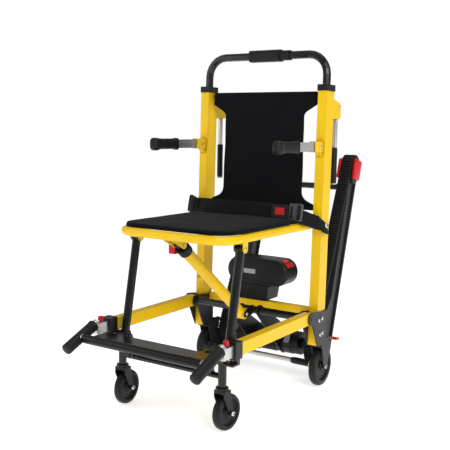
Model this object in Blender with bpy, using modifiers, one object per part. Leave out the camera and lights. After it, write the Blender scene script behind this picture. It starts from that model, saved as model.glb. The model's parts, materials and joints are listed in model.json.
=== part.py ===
"""A folding electric stair chair: posts, push handle, folding seat, base rails, casters, stair tracks and drive."""

import math

import bmesh
import bpy
from mathutils import Matrix, Vector

# Overall layout, in metres: +X is the chair's left-hand rail side, -Y the front, +Z up.
HALF_SPAN = 0.2135          # middle plane to the centre of a post, a base rail and a rear wheel
GAP = 0.0003                # between pieces that touch
RECLINE = math.radians(1.42)
RECLINE_HEIGHT = 0.200      # the posts lean back about this height

# Posts and the push handle that telescopes inside them.
POST_WIDTH = 0.030
POST_DEPTH = 0.050
POST_WALL = 0.0015
POST_BOTTOM = 0.142
POST_TOP = 0.919
HANDLE_TUBE_R = 0.0122
HANDLE_TOP = 1.030
HANDLE_BEND_R = 0.062
HANDLE_LEG_BOTTOM = 0.560
COLLAR_HEIGHT = 0.018
COLLAR_RIM = 0.003          # how far the collar stands out round the post
SLEEVE_HALF = 0.055
SLEEVE_TAPER = 0.032

# Armrests.
ARM_PIVOT_Y = -0.030
ARM_PIVOT_Z = 0.752
ARM_REACH = 0.286           # pivot plane to the front tip, measured from Y = 0
ARM_BAR_HEIGHT = 0.027
ARM_BAR_THICK = 0.012
ARM_GRIP_LENGTH = 0.120
ARM_GRIP_HEIGHT = 0.040
ARM_GRIP_WIDTH = 0.028
SHEET = 0.003               # folded steel brackets and cheeks
PIN_R = 0.0040
PIN_CLEAR = 0.0006

# Rear carry handles.
REAR_PIVOT_Y = 0.087
REAR_PIVOT_Z = 0.872
REAR_ROD_R = 0.0055
REAR_GRIP_R = 0.0088
REAR_GRIP_TOP = 0.748
REAR_GRIP_BOTTOM = 0.634

# Backrest.
BACK_BAR_R = 0.008
BACK_BAR_Y = 0.012
BACK_BAR_TOP_Z = 0.909
BACK_THICK = 0.012
BACK_EAR_X = 0.189
BACK_NECK_X = 0.143
BACK_TOP_Z = 0.918
BACK_BOTTOM_Z = 0.556

# Four pivots of the folding parallelogram: seat hinge, rail hinge, leg foot and leg head.
SEAT_HINGE = (-0.013, 0.512)
RAIL_HINGE = (-0.065, 0.235)
LEG_FOOT = (-0.447, 0.208)
LEG_HEAD = (LEG_FOOT[0] + SEAT_HINGE[0] - RAIL_HINGE[0], LEG_FOOT[1] + SEAT_HINGE[1] - RAIL_HINGE[1])

# Seat.
SEAT_TUBE_R = 0.0125
SEAT_HALF = 0.184
SEAT_FRONT_Y = -0.478
SEAT_CORNER_R = 0.062
SEAT_REAR_BAR_Y = -0.040
SEAT_REAR_BAR_R = 0.009
PAN_THICK = 0.002
PAN_REAR_Y = -0.050
CUSHION_THICK = 0.010
CUSHION_REAR_Y = -0.112

# Front legs and brace.
LEG_X = 0.178
LEG_R = 0.0125
BRACE_PIN = (-0.425, 0.482)
BRACE_FOOT = (-0.100, 0.227)
BRACE_R = 0.0165
BRACE_BORE_R = 0.0140
BRACE_ROD_R = 0.0080
BRACE_TUBE_END = 0.377      # distances along the brace from its foot pin
BRACE_COLLAR_LENGTH = 0.022
RELEASE_INNER = 0.0240
RELEASE_SIZE = (0.021, 0.023, 0.029)
BRACE_ROD_START = 0.140
BRACE_BOSS_AT = 0.239
PIVOT_TUBE_R = 0.0120
PIVOT_FLANGE_R = 0.0145

# Base rails and the carry frame that slides out of them.
RAIL_WIDTH = 0.026
RAIL_HEIGHT = 0.035
RAIL_WALL = 0.002
RAIL_Z = 0.2345
RAIL_FRONT_Y = -0.461
SOCKET_LENGTH = 0.030
SOCKET_RIM_X = 0.004
SOCKET_RIM_Z = 0.0055
CARRY_BAR_WIDTH = 0.020
CARRY_BAR_HEIGHT = 0.030
CARRY_BAR_FRONT = -0.536
CARRY_BAR_REAR = -0.300
GRIP_START = (-0.541, 0.2455)
GRIP_END = (-0.651, 0.199)
GRIP_R = 0.0160
CROSSBAR_R = 0.0125
BUTTON_Y = -0.512
BUTTON_R = 0.0085
FOOT_HINGE = (-0.482, 0.214)
FOOT_HALF = 0.191
FOOT_DEPTH = 0.060
FOOT_THICK = 0.012

# Front casters.
STEM_X = 0.1724
STEM_Y = -0.4645
STEM_R = 0.0115
STEM_BOTTOM = 0.1235
CASTER_R = 0.050
CASTER_WIDTH = 0.026
CASTER_TRAIL = 0.020
CASTER_TURN = {-1: math.radians(5.0), 1: math.radians(-5.0)}   # how each caster stands at rest
CROSS_TUBE_Z = 0.152
CROSS_TUBE_R = 0.0080
SHELF_Z = 0.191
SHELF_THICK = 0.005

# Rear wheels, their plates and brakes.
REAR_WHEEL_R = 0.0625
REAR_WHEEL_WIDTH = 0.027
REAR_AXLE_Y = 0.035
PLATE_THICK = 0.004
BRAKE_HINGE = (0.062, 0.143)
BRAKE_REACH = 0.080
BRAKE_DROP = math.radians(10.0)
BRAKE_PIN_R = 0.0025
AXLE_ROD_R = 0.0060

# Battery.
BATTERY_BAR_Y = 0.017
BATTERY_BAR_DEPTH = 0.025
BATTERY_BAR_Z = 0.239
BATTERY_BAR_HEIGHT = 0.022
BATTERY_X = -0.008
BATTERY_Y = 0.041
BATTERY_HALF = 0.111
BATTERY_DEPTH = 0.084
BATTERY_HEIGHT = 0.086
BATTERY_BASE_HEIGHT = 0.050

# Stair tracks and drive.
DRIVE = (0.109, 0.100)      # drive shaft, and the hinge that the tracks swing about
TRACK_X = 0.1665
BELT_WIDTH = 0.040
BELT_THICK = 0.010
BEAM_WIDTH = 0.028
SPROCKET_LOOP_R = 0.060
IDLER_LOOP_R = 0.0255
TRACK_LEAN = math.radians(16.2)
TRACK_TOP_Z = 0.718
GUIDE_RISE = 0.150          # height of the guide roller over the drive shaft
MOTOR_R = 0.038
SHAFT_R = 0.006
SPROCKET_R = 0.046

# Lap belt.
STRAP_WIDTH = 0.046
STRAP_THICK = 0.003
STRAP_TILT = math.radians(-8.0)
STRAP_Y = -0.085
STRAP_Z = 0.5565
BUCKLE_X = 0.126
BUCKLE_SIZE = (0.058, 0.018, 0.042)
TONGUE_LENGTH = 0.056
STRAP_DROP = math.radians(14.0)
TONGUE_HEIGHT = 0.049

YELLOW = (0.80, 0.55, 0.0)
BLACK = (0.012, 0.012, 0.013)
GREY = (0.05, 0.05, 0.053)
SILVER = (0.60, 0.60, 0.62)
RED = (0.58, 0.008, 0.012)
FABRIC = (0.009, 0.009, 0.011)

SIDES = (("left", -1), ("right", 1))

for old in list(bpy.data.objects):
    bpy.data.objects.remove(old, do_unlink=True)
PARTS = bpy.data.collections.new("stair_chair")
bpy.context.scene.collection.children.link(PARTS)


def material(name, color, roughness, metallic):
    """A Principled BSDF of one colour."""
    made = bpy.data.materials.new(name)
    made.use_nodes = True
    shader = made.node_tree.nodes["Principled BSDF"]
    shader.inputs["Base Color"].default_value = (*color, 1.0)
    shader.inputs["Roughness"].default_value = roughness
    shader.inputs["Metallic"].default_value = metallic
    made.diffuse_color = (*color, 1.0)
    return made


PAINT = material("yellow_powder_coat", YELLOW, 0.35, 0.0)
BLACK_TUBE = material("black_anodised_tube", BLACK, 0.35, 0.4)
PLASTIC = material("black_moulded_plastic", BLACK, 0.5, 0.0)
DARK_PLATE = material("dark_coated_steel", GREY, 0.45, 0.3)
BARE = material("bare_aluminium", SILVER, 0.35, 1.0)
RED_PLASTIC = material("red_plastic", RED, 0.4, 0.0)
RUBBER = material("black_rubber", BLACK, 0.7, 0.0)
CLOTH = material("black_woven_fabric", FABRIC, 0.9, 0.0)


def new_object(mesh):
    """A mesh object in the parts collection."""
    made = bpy.data.objects.new("piece", mesh)
    PARTS.objects.link(made)
    return made


def box(low, high):
    """A block between two corners."""
    low, high = Vector(low), Vector(high)
    shape = bmesh.new()
    size = Matrix.Diagonal((*(high - low), 1.0))
    bmesh.ops.create_cube(shape, size=1.0, matrix=Matrix.Translation((low + high) / 2) @ size)
    mesh = bpy.data.meshes.new("box")
    shape.to_mesh(mesh)
    shape.free()
    return new_object(mesh)


def rod(start, end, radius, sides=16, end_radius=None):
    """A cylinder or cone between two points."""
    start, end = Vector(start), Vector(end)
    along = end - start
    place = Matrix.Translation((start + end) / 2) @ along.to_track_quat("Z", "Y").to_matrix().to_4x4()
    shape = bmesh.new()
    bmesh.ops.create_cone(
        shape, cap_ends=True, segments=sides, radius1=radius,
        radius2=radius if end_radius is None else end_radius, depth=along.length, matrix=place)
    mesh = bpy.data.meshes.new("rod")
    shape.to_mesh(mesh)
    shape.free()
    return new_object(mesh)


def across(x_low, x_high, point, radius, sides=16):
    """A cylinder along X at a (y, z) point."""
    return rod((x_low, *point), (x_high, *point), radius, sides)


def mesh_from_curve(curve_object, place):
    """The curve as a welded mesh in its place; the curve is removed."""
    bpy.context.view_layer.update()
    graph = bpy.context.evaluated_depsgraph_get()
    mesh = bpy.data.meshes.new_from_object(curve_object.evaluated_get(graph))
    shape = bmesh.new()
    shape.from_mesh(mesh)
    bmesh.ops.remove_doubles(shape, verts=shape.verts, dist=1e-6)
    bmesh.ops.transform(shape, matrix=place, verts=shape.verts)
    bmesh.ops.recalc_face_normals(shape, faces=shape.faces)
    shape.to_mesh(mesh)
    shape.free()
    bpy.data.objects.remove(curve_object, do_unlink=True)
    return new_object(mesh)


def curve_object(points, cyclic, dimensions):
    """A POLY curve object through the points."""
    curve = bpy.data.curves.new("curve", "CURVE")
    curve.dimensions = dimensions
    spline = curve.splines.new("POLY")
    spline.points.add(len(points) - 1)
    for place, point in zip(spline.points, points):
        place.co = (*point, *([0.0] * (3 - len(point))), 1.0)
    spline.use_cyclic_u = cyclic
    made = bpy.data.objects.new("curve", curve)
    PARTS.objects.link(made)
    return made


def tube(points, radius, sides=12):
    """A round solid bar swept along the points."""
    made = curve_object(points, False, "3D")
    made.data.bevel_depth = radius
    made.data.bevel_resolution = sides // 4 - 1
    made.data.use_fill_caps = True
    return mesh_from_curve(made, Matrix.Identity(4))


ACROSS_X = Matrix(((0, 0, 1, 0), (1, 0, 0, 0), (0, 1, 0, 0), (0, 0, 0, 1)))   # outline (y, z) to X
ACROSS_Y = Matrix(((1, 0, 0, 0), (0, 0, -1, 0), (0, 1, 0, 0), (0, 0, 0, 1)))  # outline (x, z) to Y
ACROSS_Z = Matrix.Identity(4)                                                # outline (x, y) to Z


def slab(outline, low, high, turn=ACROSS_X):
    """A flat outline made solid between two values of the axis that it faces."""
    made = curve_object(outline, True, "2D")
    made.data.fill_mode = "BOTH"
    made.data.extrude = (high - low) / 2
    middle = (low + high) / 2
    lift = Matrix.Translation((0, 0, -middle if turn == ACROSS_Y else middle))
    return mesh_from_curve(made, turn @ lift)


def rounded(corners, steps=4):
    """A closed outline whose corners (a, b, radius) are arcs."""
    points = []
    for index, (a, b, radius) in enumerate(corners):
        here = Vector((a, b))
        before = (Vector(corners[index - 1][:2]) - here).normalized()
        after = (Vector(corners[(index + 1) % len(corners)][:2]) - here).normalized()
        points.extend(fillet(here, before, after, radius, steps))
    return points


def fillet(here, before, after, radius, steps):
    """The points of an arc tangent to the two directions that leave a corner."""
    if radius <= 0:
        return [here]
    half = before.angle(after) / 2
    reach = radius / math.tan(half)
    centre = here + (before + after).normalized() * (radius / math.sin(half))
    first = here + before * reach - centre
    last = here + after * reach - centre
    span = first.angle(last)
    return [
        centre + (first * math.sin(span * (1 - t / steps)) + last * math.sin(span * t / steps)) / math.sin(span)
        for t in range(steps + 1)]


def bent_path(corners, radius, steps=5):
    """An open path of straight runs joined by arcs of one radius."""
    corners = [Vector(corner) for corner in corners]
    points = [corners[0]]
    for before, here, after in zip(corners, corners[1:], corners[2:]):
        points.extend(fillet(here, (before - here).normalized(), (after - here).normalized(), radius, steps))
    points.append(corners[-1])
    return points


def link_outline(first, first_radius, second, second_radius, steps=8):
    """The outline round two circles and the tangents between them."""
    first, second = Vector(first), Vector(second)
    along = second - first
    heading = math.atan2(along.y, along.x)
    tilt = math.acos((first_radius - second_radius) / along.length)
    points = []
    for centre, radius, start, sweep in (
            (second, second_radius, heading - tilt, 2 * tilt),
            (first, first_radius, heading + tilt, 2 * (math.pi - tilt))):
        for t in range(steps + 1):
            angle = start + sweep * t / steps
            points.append(centre + radius * Vector((math.cos(angle), math.sin(angle))))
    return points


def turned(profile, sides):
    """A closed ring profile (radius, height) revolved round Z with a Screw modifier."""
    mesh = bpy.data.meshes.new("turned")
    count = len(profile)
    edges = [(index, (index + 1) % count) for index in range(count)]
    mesh.from_pydata([(radius, 0.0, height) for radius, height in profile], edges, [])
    made = new_object(mesh)
    screw = made.modifiers.new("Screw", "SCREW")
    screw.steps = sides
    screw.render_steps = sides
    screw.use_merge_vertices = True
    screw.merge_threshold = 0.00001
    return baked(made)


def baked(made):
    """The object with its modifiers applied and its normals outward."""
    bpy.context.view_layer.update()
    graph = bpy.context.evaluated_depsgraph_get()
    mesh = bpy.data.meshes.new_from_object(made.evaluated_get(graph))
    shape = bmesh.new()
    shape.from_mesh(mesh)
    bmesh.ops.recalc_face_normals(shape, faces=shape.faces)
    shape.to_mesh(mesh)
    shape.free()
    made.modifiers.clear()
    made.data = mesh
    return made


def combine(base, others, operation):
    """Boolean of the base with each of the others, which are used up."""
    for other in others:
        step = base.modifiers.new("Boolean", "BOOLEAN")
        step.operation = operation
        step.solver = "EXACT"
        step.object = other
    bpy.context.view_layer.update()
    graph = bpy.context.evaluated_depsgraph_get()
    mesh = bpy.data.meshes.new_from_object(base.evaluated_get(graph))
    base.modifiers.clear()
    base.data = mesh
    for other in others:
        bpy.data.objects.remove(other, do_unlink=True)
    return base


def union(base, *others):
    return combine(base, others, "UNION")


def cut(base, *others):
    return combine(base, others, "DIFFERENCE")


def moved(made, matrix):
    """The object's mesh carried by a matrix."""
    made.data.transform(matrix)
    return made


def finish(made, name, finish_material, pivot=(0.0, 0.0, 0.0)):
    """Names a piece, gives it its material and puts its origin on its joint's axis."""
    made.name = name
    made.data.name = name
    made.data.materials.clear()
    made.data.materials.append(finish_material)
    made.data.shade_smooth()
    made.data.set_sharp_from_angle(angle=math.radians(35))
    made.data.transform(Matrix.Translation(-Vector(pivot)))
    made.location = pivot
    return made


LEAN = (Matrix.Translation((0, 0, RECLINE_HEIGHT)) @ Matrix.Rotation(-RECLINE, 4, "X")
        @ Matrix.Translation((0, 0, -RECLINE_HEIGHT)))


def lean_y(height):
    """How far back the middle of a post is at a height."""
    return (height - RECLINE_HEIGHT) * math.tan(RECLINE)


def bolt(x_low, x_high, point, radius=PIN_R, head=0.0025):
    """A pin along X with a low head at each end."""
    pin = across(x_low, x_high, point, radius, 16)
    heads = [across(end - head / 2, end + head / 2, point, radius * 1.7, 12) for end in (x_low, x_high)]
    return union(pin, *heads)


# Posts and handle

def post(name, side):
    """A rectangular aluminium tube, open at both ends."""
    x = side * HALF_SPAN
    inner = (POST_WIDTH / 2 - POST_WALL, POST_DEPTH / 2 - POST_WALL)
    body = box((x - POST_WIDTH / 2, -POST_DEPTH / 2, POST_BOTTOM), (x + POST_WIDTH / 2, POST_DEPTH / 2, POST_TOP))
    bore = box((x - inner[0], -inner[1], POST_BOTTOM - 0.01), (x + inner[0], inner[1], POST_TOP + 0.01))
    finish(moved(cut(body, bore), LEAN), f"post_{name}", PAINT)


def collar(name, side):
    """The square guide on a post's top that the handle leg slides through."""
    half_x, half_y = POST_WIDTH / 2 + COLLAR_RIM, POST_DEPTH / 2 + COLLAR_RIM
    x = side * HALF_SPAN
    outline = rounded([(x - half_x, -half_y, 0.004), (x + half_x, -half_y, 0.004),
                       (x + half_x, half_y, 0.004), (x - half_x, half_y, 0.004)], 3)
    bottom = POST_TOP + GAP
    body = slab(outline, bottom, bottom + COLLAR_HEIGHT, ACROSS_Z)
    bore = rod((x, 0, bottom - 0.01), (x, 0, bottom + COLLAR_HEIGHT + 0.01), HANDLE_TUBE_R + GAP, 20)
    finish(moved(cut(body, bore), LEAN), f"collar_{name}", PLASTIC)


def push_handle():
    """The bent tube that telescopes out of the two posts."""
    path = bent_path([(-HALF_SPAN, 0, HANDLE_LEG_BOTTOM), (-HALF_SPAN, 0, HANDLE_TOP),
                      (HALF_SPAN, 0, HANDLE_TOP), (HALF_SPAN, 0, HANDLE_LEG_BOTTOM)], HANDLE_BEND_R, 6)
    finish(moved(tube(path, HANDLE_TUBE_R, 16), LEAN), "push_handle", BLACK_TUBE)


def control_sleeve():
    """The moulded clamp block round the middle of the handle, with its tapered end."""
    half_y, half_z = HANDLE_TUBE_R + 0.005, HANDLE_TUBE_R + 0.006
    radius = 0.010

    def section(shrink):
        a, b = half_y - shrink, half_z - shrink
        return rounded([(-a, HANDLE_TOP - b, radius), (a, HANDLE_TOP - b, radius),
                        (a, HANDLE_TOP + b, radius), (-a, HANDLE_TOP + b, radius)], 3)

    body = slab(section(0.0), -SLEEVE_HALF, SLEEVE_HALF)
    end = slab(section(0.003), SLEEVE_HALF - 0.002, SLEEVE_HALF + SLEEVE_TAPER)
    bore = across(-0.1, 0.1, (0.0, HANDLE_TOP), HANDLE_TUBE_R + GAP, 20)
    finish(moved(cut(union(body, end), bore), LEAN), "control_sleeve", PLASTIC)


# Armrests

def armrest_bracket(name, side):
    """The folded clevis on the post's front face, with its pin and the stop under it."""
    x = side * HALF_SPAN
    low_z, high_z = ARM_PIVOT_Z - 0.016, ARM_PIVOT_Z + 0.016
    face = lean_y(low_z) - POST_DEPTH / 2 - 2 * GAP
    inner = ARM_BAR_THICK / 2 + GAP * 3
    outer = inner + SHEET
    base = box((x - outer + GAP, face - SHEET, low_z + GAP), (x + outer - GAP, face, high_z - GAP))
    cheeks = [box((x + s * (inner + outer) / 2 - SHEET / 2, -0.062, low_z),
                  (x + s * (inner + outer) / 2 + SHEET / 2, face - 0.001, high_z)) for s in (-1, 1)]
    stop = slab([(face - 0.0015, low_z + 0.002), (-0.036, low_z + 0.002), (face - 0.0015, low_z - 0.014)],
                x - inner - 0.001, x + inner + 0.001)
    pin = bolt(x - outer, x + outer, (ARM_PIVOT_Y, ARM_PIVOT_Z))
    finish(union(base, *cheeks, stop, pin), f"armrest_bracket_{name}", PAINT)


def armrest_bar(name, side):
    """The flat aluminium bar with a round eye at its pivot."""
    x = side * HALF_SPAN
    half = ARM_BAR_HEIGHT / 2
    eye = across(x - ARM_BAR_THICK / 2, x + ARM_BAR_THICK / 2, (ARM_PIVOT_Y, ARM_PIVOT_Z), half, 20)
    bar = box((x - ARM_BAR_THICK / 2, -ARM_REACH + 0.012, ARM_PIVOT_Z - half),
              (x + ARM_BAR_THICK / 2, ARM_PIVOT_Y, ARM_PIVOT_Z + half))
    hole = across(x - 0.02, x + 0.02, (ARM_PIVOT_Y, ARM_PIVOT_Z), PIN_R + PIN_CLEAR, 16)
    pivot = (x, ARM_PIVOT_Y, ARM_PIVOT_Z)
    finish(cut(union(eye, bar), hole), f"armrest_bar_{name}", BARE, pivot)


def armrest_grip(name, side):
    """The rubber grip pushed over the bar: a flared tip, a slim waist and a flared inner end."""
    x = side * HALF_SPAN
    tip, root = -ARM_REACH, -ARM_REACH + ARM_GRIP_LENGTH
    top, bottom = ARM_PIVOT_Z + ARM_GRIP_HEIGHT / 2, ARM_PIVOT_Z - ARM_GRIP_HEIGHT / 2
    outline = rounded([(tip, bottom, 0.014), (tip + 0.034, bottom, 0.006), (tip + 0.046, bottom + 0.005, 0.006),
                       (root - 0.026, bottom + 0.005, 0.006), (root - 0.010, bottom, 0.004), (root, bottom, 0.003),
                       (root, top, 0.003), (root - 0.014, top - 0.002, 0.010), (tip, top, 0.014)], 3)
    body = slab(outline, x - ARM_GRIP_WIDTH / 2, x + ARM_GRIP_WIDTH / 2)
    half = ARM_BAR_HEIGHT / 2 + GAP
    socket = box((x - ARM_BAR_THICK / 2 - GAP, tip + 0.0117, ARM_PIVOT_Z - half),
                 (x + ARM_BAR_THICK / 2 + GAP, root + 0.01, ARM_PIVOT_Z + half))
    finish(cut(body, socket), f"armrest_grip_{name}", RUBBER, (x, ARM_PIVOT_Y, ARM_PIVOT_Z))


# Rear carry handles

def rear_handle_bracket(name, side):
    """The clevis behind the post's top that the fold-out carry handle hangs from."""
    x = side * HALF_SPAN
    face = lean_y(REAR_PIVOT_Z + 0.024) + POST_DEPTH / 2 + 2 * GAP
    inner = REAR_ROD_R + 0.002
    outer = inner + SHEET
    low_z, high_z = REAR_PIVOT_Z - 0.036, REAR_PIVOT_Z + 0.024
    outline = rounded([(face, low_z, 0), (REAR_PIVOT_Y + 0.015, low_z, 0.006),
                       (REAR_PIVOT_Y + 0.015, REAR_PIVOT_Z + 0.010, 0.008), (face + 0.010, high_z, 0.006),
                       (face, high_z, 0)], 3)
    cheeks = [slab(outline, min(x + s * inner, x + s * outer), max(x + s * inner, x + s * outer)) for s in (-1, 1)]
    web = box((x - outer + GAP, face + GAP, low_z + GAP), (x + outer - GAP, face + SHEET, high_z - GAP))
    pin = bolt(x - outer, x + outer, (REAR_PIVOT_Y, REAR_PIVOT_Z), 0.0035)
    finish(union(web, *cheeks, pin), f"rear_handle_bracket_{name}", PAINT)


def rear_handle(name, side):
    """A steel rod with an eye at its top and a hand grip at its foot."""
    x = side * HALF_SPAN
    eye = across(x - REAR_ROD_R, x + REAR_ROD_R, (REAR_PIVOT_Y, REAR_PIVOT_Z), 0.0085, 16)
    shaft = rod((x, REAR_PIVOT_Y, REAR_GRIP_TOP - 0.01), (x, REAR_PIVOT_Y, REAR_PIVOT_Z), REAR_ROD_R, 14)
    grip = rod((x, REAR_PIVOT_Y, REAR_GRIP_BOTTOM), (x, REAR_PIVOT_Y, REAR_GRIP_TOP), REAR_GRIP_R, 16)
    hole = across(x - 0.02, x + 0.02, (REAR_PIVOT_Y, REAR_PIVOT_Z), 0.0035 + PIN_CLEAR, 14)
    finish(cut(union(eye, shaft, grip), hole), f"rear_handle_{name}", BARE, (x, REAR_PIVOT_Y, REAR_PIVOT_Z))


# Backrest

def back_top_bar():
    """The round bar between the posts that the backrest hangs from."""
    reach = HALF_SPAN - POST_WIDTH / 2 - GAP
    bar = across(-reach, reach, (BACK_BAR_Y, BACK_BAR_TOP_Z), BACK_BAR_R, 16)
    finish(moved(bar, LEAN), "back_top_bar", PAINT)


def backrest_panel():
    """The padded panel: wide ears at the top, a narrower waist and a flare over the seat."""
    ear, neck = BACK_EAR_X, BACK_NECK_X
    right = [(ear, BACK_TOP_Z, 0.004), (ear, BACK_TOP_Z - 0.039, 0.006), (neck, BACK_TOP_Z - 0.066, 0.020),
             (neck + 0.003, BACK_BOTTOM_Z + 0.036, 0.030), (ear, BACK_BOTTOM_Z + 0.017, 0.006),
             (ear, BACK_BOTTOM_Z, 0.004)]
    left = [(-x, z, radius) for x, z, radius in reversed(right)]
    front = BACK_BAR_Y - BACK_BAR_R - GAP - BACK_THICK
    body = slab(rounded(right + left, 4), front, front + BACK_THICK, ACROSS_Y)
    finish(moved(body, LEAN), "backrest_panel", CLOTH)


# Seat

def seat_outline(half, front, rear, radius):
    """The seat's plan: square at the back, round at the two front corners."""
    return rounded([(-half, front, radius), (half, front, radius), (half, rear, 0.010), (-half, rear, 0.010)], 6)


def seat_frame():
    """The bent seat tube with its rear bar, hinge pins and the clevises for the legs and the brace."""
    y, z = SEAT_HINGE
    path = bent_path([(-SEAT_HALF, y + 0.008, z), (-SEAT_HALF, SEAT_FRONT_Y, z), (SEAT_HALF, SEAT_FRONT_Y, z),
                      (SEAT_HALF, y + 0.008, z)], SEAT_CORNER_R, 6)
    frame = tube(path, SEAT_TUBE_R)
    parts = [across(-SEAT_HALF, SEAT_HALF, (SEAT_REAR_BAR_Y, z), SEAT_REAR_BAR_R, 14)]
    inside = HALF_SPAN - POST_WIDTH / 2 - GAP
    for _, side in SIDES:
        low, high = sorted((side * SEAT_HALF, side * inside))
        parts.append(across(low, high, SEAT_HINGE, 0.0065, 16))
        x = side * LEG_X
        reach = LEG_R + 0.0010
        saddle_low = LEG_HEAD[1] + LEG_R + 0.0012
        parts.append(box((x - reach - SHEET, LEG_HEAD[0] - 0.011, saddle_low),
                         (x + reach + SHEET, LEG_HEAD[0] + 0.011, z - SEAT_TUBE_R + 0.004)))
        cheek = link_outline((LEG_HEAD[0], saddle_low + 0.002), 0.0112, LEG_HEAD, 0.0110)
        for s in (-1, 1):
            low, high = sorted((x + s * reach, x + s * (reach + SHEET)))
            parts.append(slab(cheek, low, high))
        parts.append(bolt(x - reach - SHEET, x + reach + SHEET, LEG_HEAD))
    ear = link_outline((SEAT_FRONT_Y + 0.004, z - 0.006), 0.009, BRACE_PIN, 0.0105)
    for s in (-1, 1):
        low, high = sorted((s * 0.0135, s * (0.0135 + SHEET)))
        parts.append(slab(ear, low, high))
    parts.append(bolt(-0.0135 - SHEET, 0.0135 + SHEET, BRACE_PIN))
    finish(union(frame, *parts), "seat_frame", PAINT, (0, y, z))


def seat_pan():
    """The flat board that the cushion lies on, seated on the tube's top."""
    low = SEAT_HINGE[1] + SEAT_TUBE_R + GAP
    outline = seat_outline(SEAT_HALF, SEAT_FRONT_Y + 0.002, PAN_REAR_Y, SEAT_CORNER_R)
    finish(slab(outline, low, low + PAN_THICK, ACROSS_Z), "seat_pan", PLASTIC, (0, *SEAT_HINGE))


def seat_cushion():
    """The thin padded seat."""
    low = SEAT_HINGE[1] + SEAT_TUBE_R + PAN_THICK + 2 * GAP
    outline = seat_outline(SEAT_HALF, SEAT_FRONT_Y + 0.004, CUSHION_REAR_Y, SEAT_CORNER_R)
    finish(slab(outline, low, low + CUSHION_THICK, ACROSS_Z), "seat_cushion", CLOTH, (0, *SEAT_HINGE))


# Front legs and brace

def front_leg(name, side):
    """A round tube with an eye across each end."""
    x = side * LEG_X
    eyes = [across(x - LEG_R, x + LEG_R, point, LEG_R, 16) for point in (LEG_HEAD, LEG_FOOT)]
    holes = [across(x - 0.03, x + 0.03, point, PIN_R + PIN_CLEAR, 14) for point in (LEG_HEAD, LEG_FOOT)]
    shaft = rod((x, *LEG_HEAD), (x, *LEG_FOOT), LEG_R - 0.0002, 16)
    finish(cut(union(shaft, *eyes), *holes), f"front_leg_{name}", BLACK_TUBE, (x, *LEG_HEAD))


BRACE_ALONG = (Vector(BRACE_PIN) - Vector(BRACE_FOOT)).normalized()


def on_brace(distance, x=0.0):
    """The point on the brace's centre line at a distance from its foot pin."""
    y, z = Vector(BRACE_FOOT) + BRACE_ALONG * distance
    return Vector((x, y, z))


def brace_tube():
    """The outer brace tube: a round eye at its foot, a boss on its side and the guide collar at its mouth."""
    shaft = rod(on_brace(0.004), on_brace(BRACE_TUBE_END), BRACE_R, 20)
    eye_half = BRACE_R - 0.0007
    eye = across(-eye_half, eye_half, BRACE_FOOT, BRACE_R + 0.0008, 20)
    boss_start = on_brace(BRACE_BOSS_AT, -0.008)
    boss = rod(boss_start, boss_start + Vector((-0.022, -0.0070, -0.0090)), 0.0085, 14)
    collar_end = BRACE_TUBE_END + BRACE_COLLAR_LENGTH
    guide = rod(on_brace(BRACE_TUBE_END - 0.004), on_brace(collar_end), BRACE_R + 0.002, 20)
    stem_at = collar_end - BRACE_COLLAR_LENGTH / 2
    stem = rod(on_brace(stem_at, -BRACE_R + 0.001), on_brace(stem_at, -RELEASE_INNER - 0.0055), 0.0060, 14)
    bore = rod(on_brace(0.050), on_brace(collar_end + 0.01), BRACE_BORE_R, 20)
    hole = across(-0.03, 0.03, BRACE_FOOT, PIN_R + PIN_CLEAR, 14)
    body = cut(union(shaft, eye, boss, guide, stem), bore, hole)
    finish(body, "brace_tube", PAINT, (0, *BRACE_FOOT))


def brace_rod():
    """The rod that slides in the brace tube, with its eye at the seat's clevis."""
    shaft = rod(on_brace(BRACE_ROD_START), on_brace((Vector(BRACE_PIN) - Vector(BRACE_FOOT)).length), BRACE_ROD_R, 16)
    eye = across(-0.0125, 0.0125, BRACE_PIN, 0.0100, 16)
    hole = across(-0.03, 0.03, BRACE_PIN, PIN_R + PIN_CLEAR, 14)
    finish(cut(union(shaft, eye), hole), "brace_rod", BLACK_TUBE, (0, *BRACE_PIN))


def release_button():
    """The red push button that frees the brace: a cup over the stem on the guide collar."""
    centre = on_brace(BRACE_TUBE_END + BRACE_COLLAR_LENGTH / 2)
    body = box((-RELEASE_INNER - RELEASE_SIZE[0], centre.y - RELEASE_SIZE[1] / 2, centre.z - RELEASE_SIZE[2] / 2),
               (-RELEASE_INNER, centre.y + RELEASE_SIZE[1] / 2, centre.z + RELEASE_SIZE[2] / 2))
    cup = across(-RELEASE_INNER - 0.010, -0.02, (centre.y, centre.z), 0.0068)
    finish(cut(body, cup), "release_button", RED_PLASTIC, centre)


# Base rails, carry frame and footrest

def rail(name, side):
    """A rectangular tube with a round rear end on the rail hinge and a black socket on its front end."""
    x = side * HALF_SPAN
    half_w, half_h = RAIL_WIDTH / 2, RAIL_HEIGHT / 2
    body = box((x - half_w, RAIL_FRONT_Y, RAIL_Z - half_h), (x + half_w, RAIL_HINGE[0], RAIL_Z + half_h))
    eye = across(x - half_w, x + half_w, RAIL_HINGE, RAIL_HEIGHT / 2, 24)
    socket = box((x - half_w - SOCKET_RIM_X, RAIL_FRONT_Y - SOCKET_LENGTH, RAIL_Z - half_h - SOCKET_RIM_Z),
                 (x + half_w + SOCKET_RIM_X, RAIL_FRONT_Y + 0.002, RAIL_Z + half_h + SOCKET_RIM_Z))
    bore = box((x - half_w + RAIL_WALL, RAIL_FRONT_Y - 0.1, RAIL_Z - half_h + RAIL_WALL),
               (x + half_w - RAIL_WALL, RAIL_HINGE[0] - 0.045, RAIL_Z + half_h - RAIL_WALL))
    hole = across(x - 0.05, x + 0.05, RAIL_HINGE, PIN_R + 0.001 + PIN_CLEAR, 16)
    finish(cut(union(body, eye, socket), bore, hole), f"rail_{name}", PAINT, (x, *RAIL_HINGE))


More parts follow.
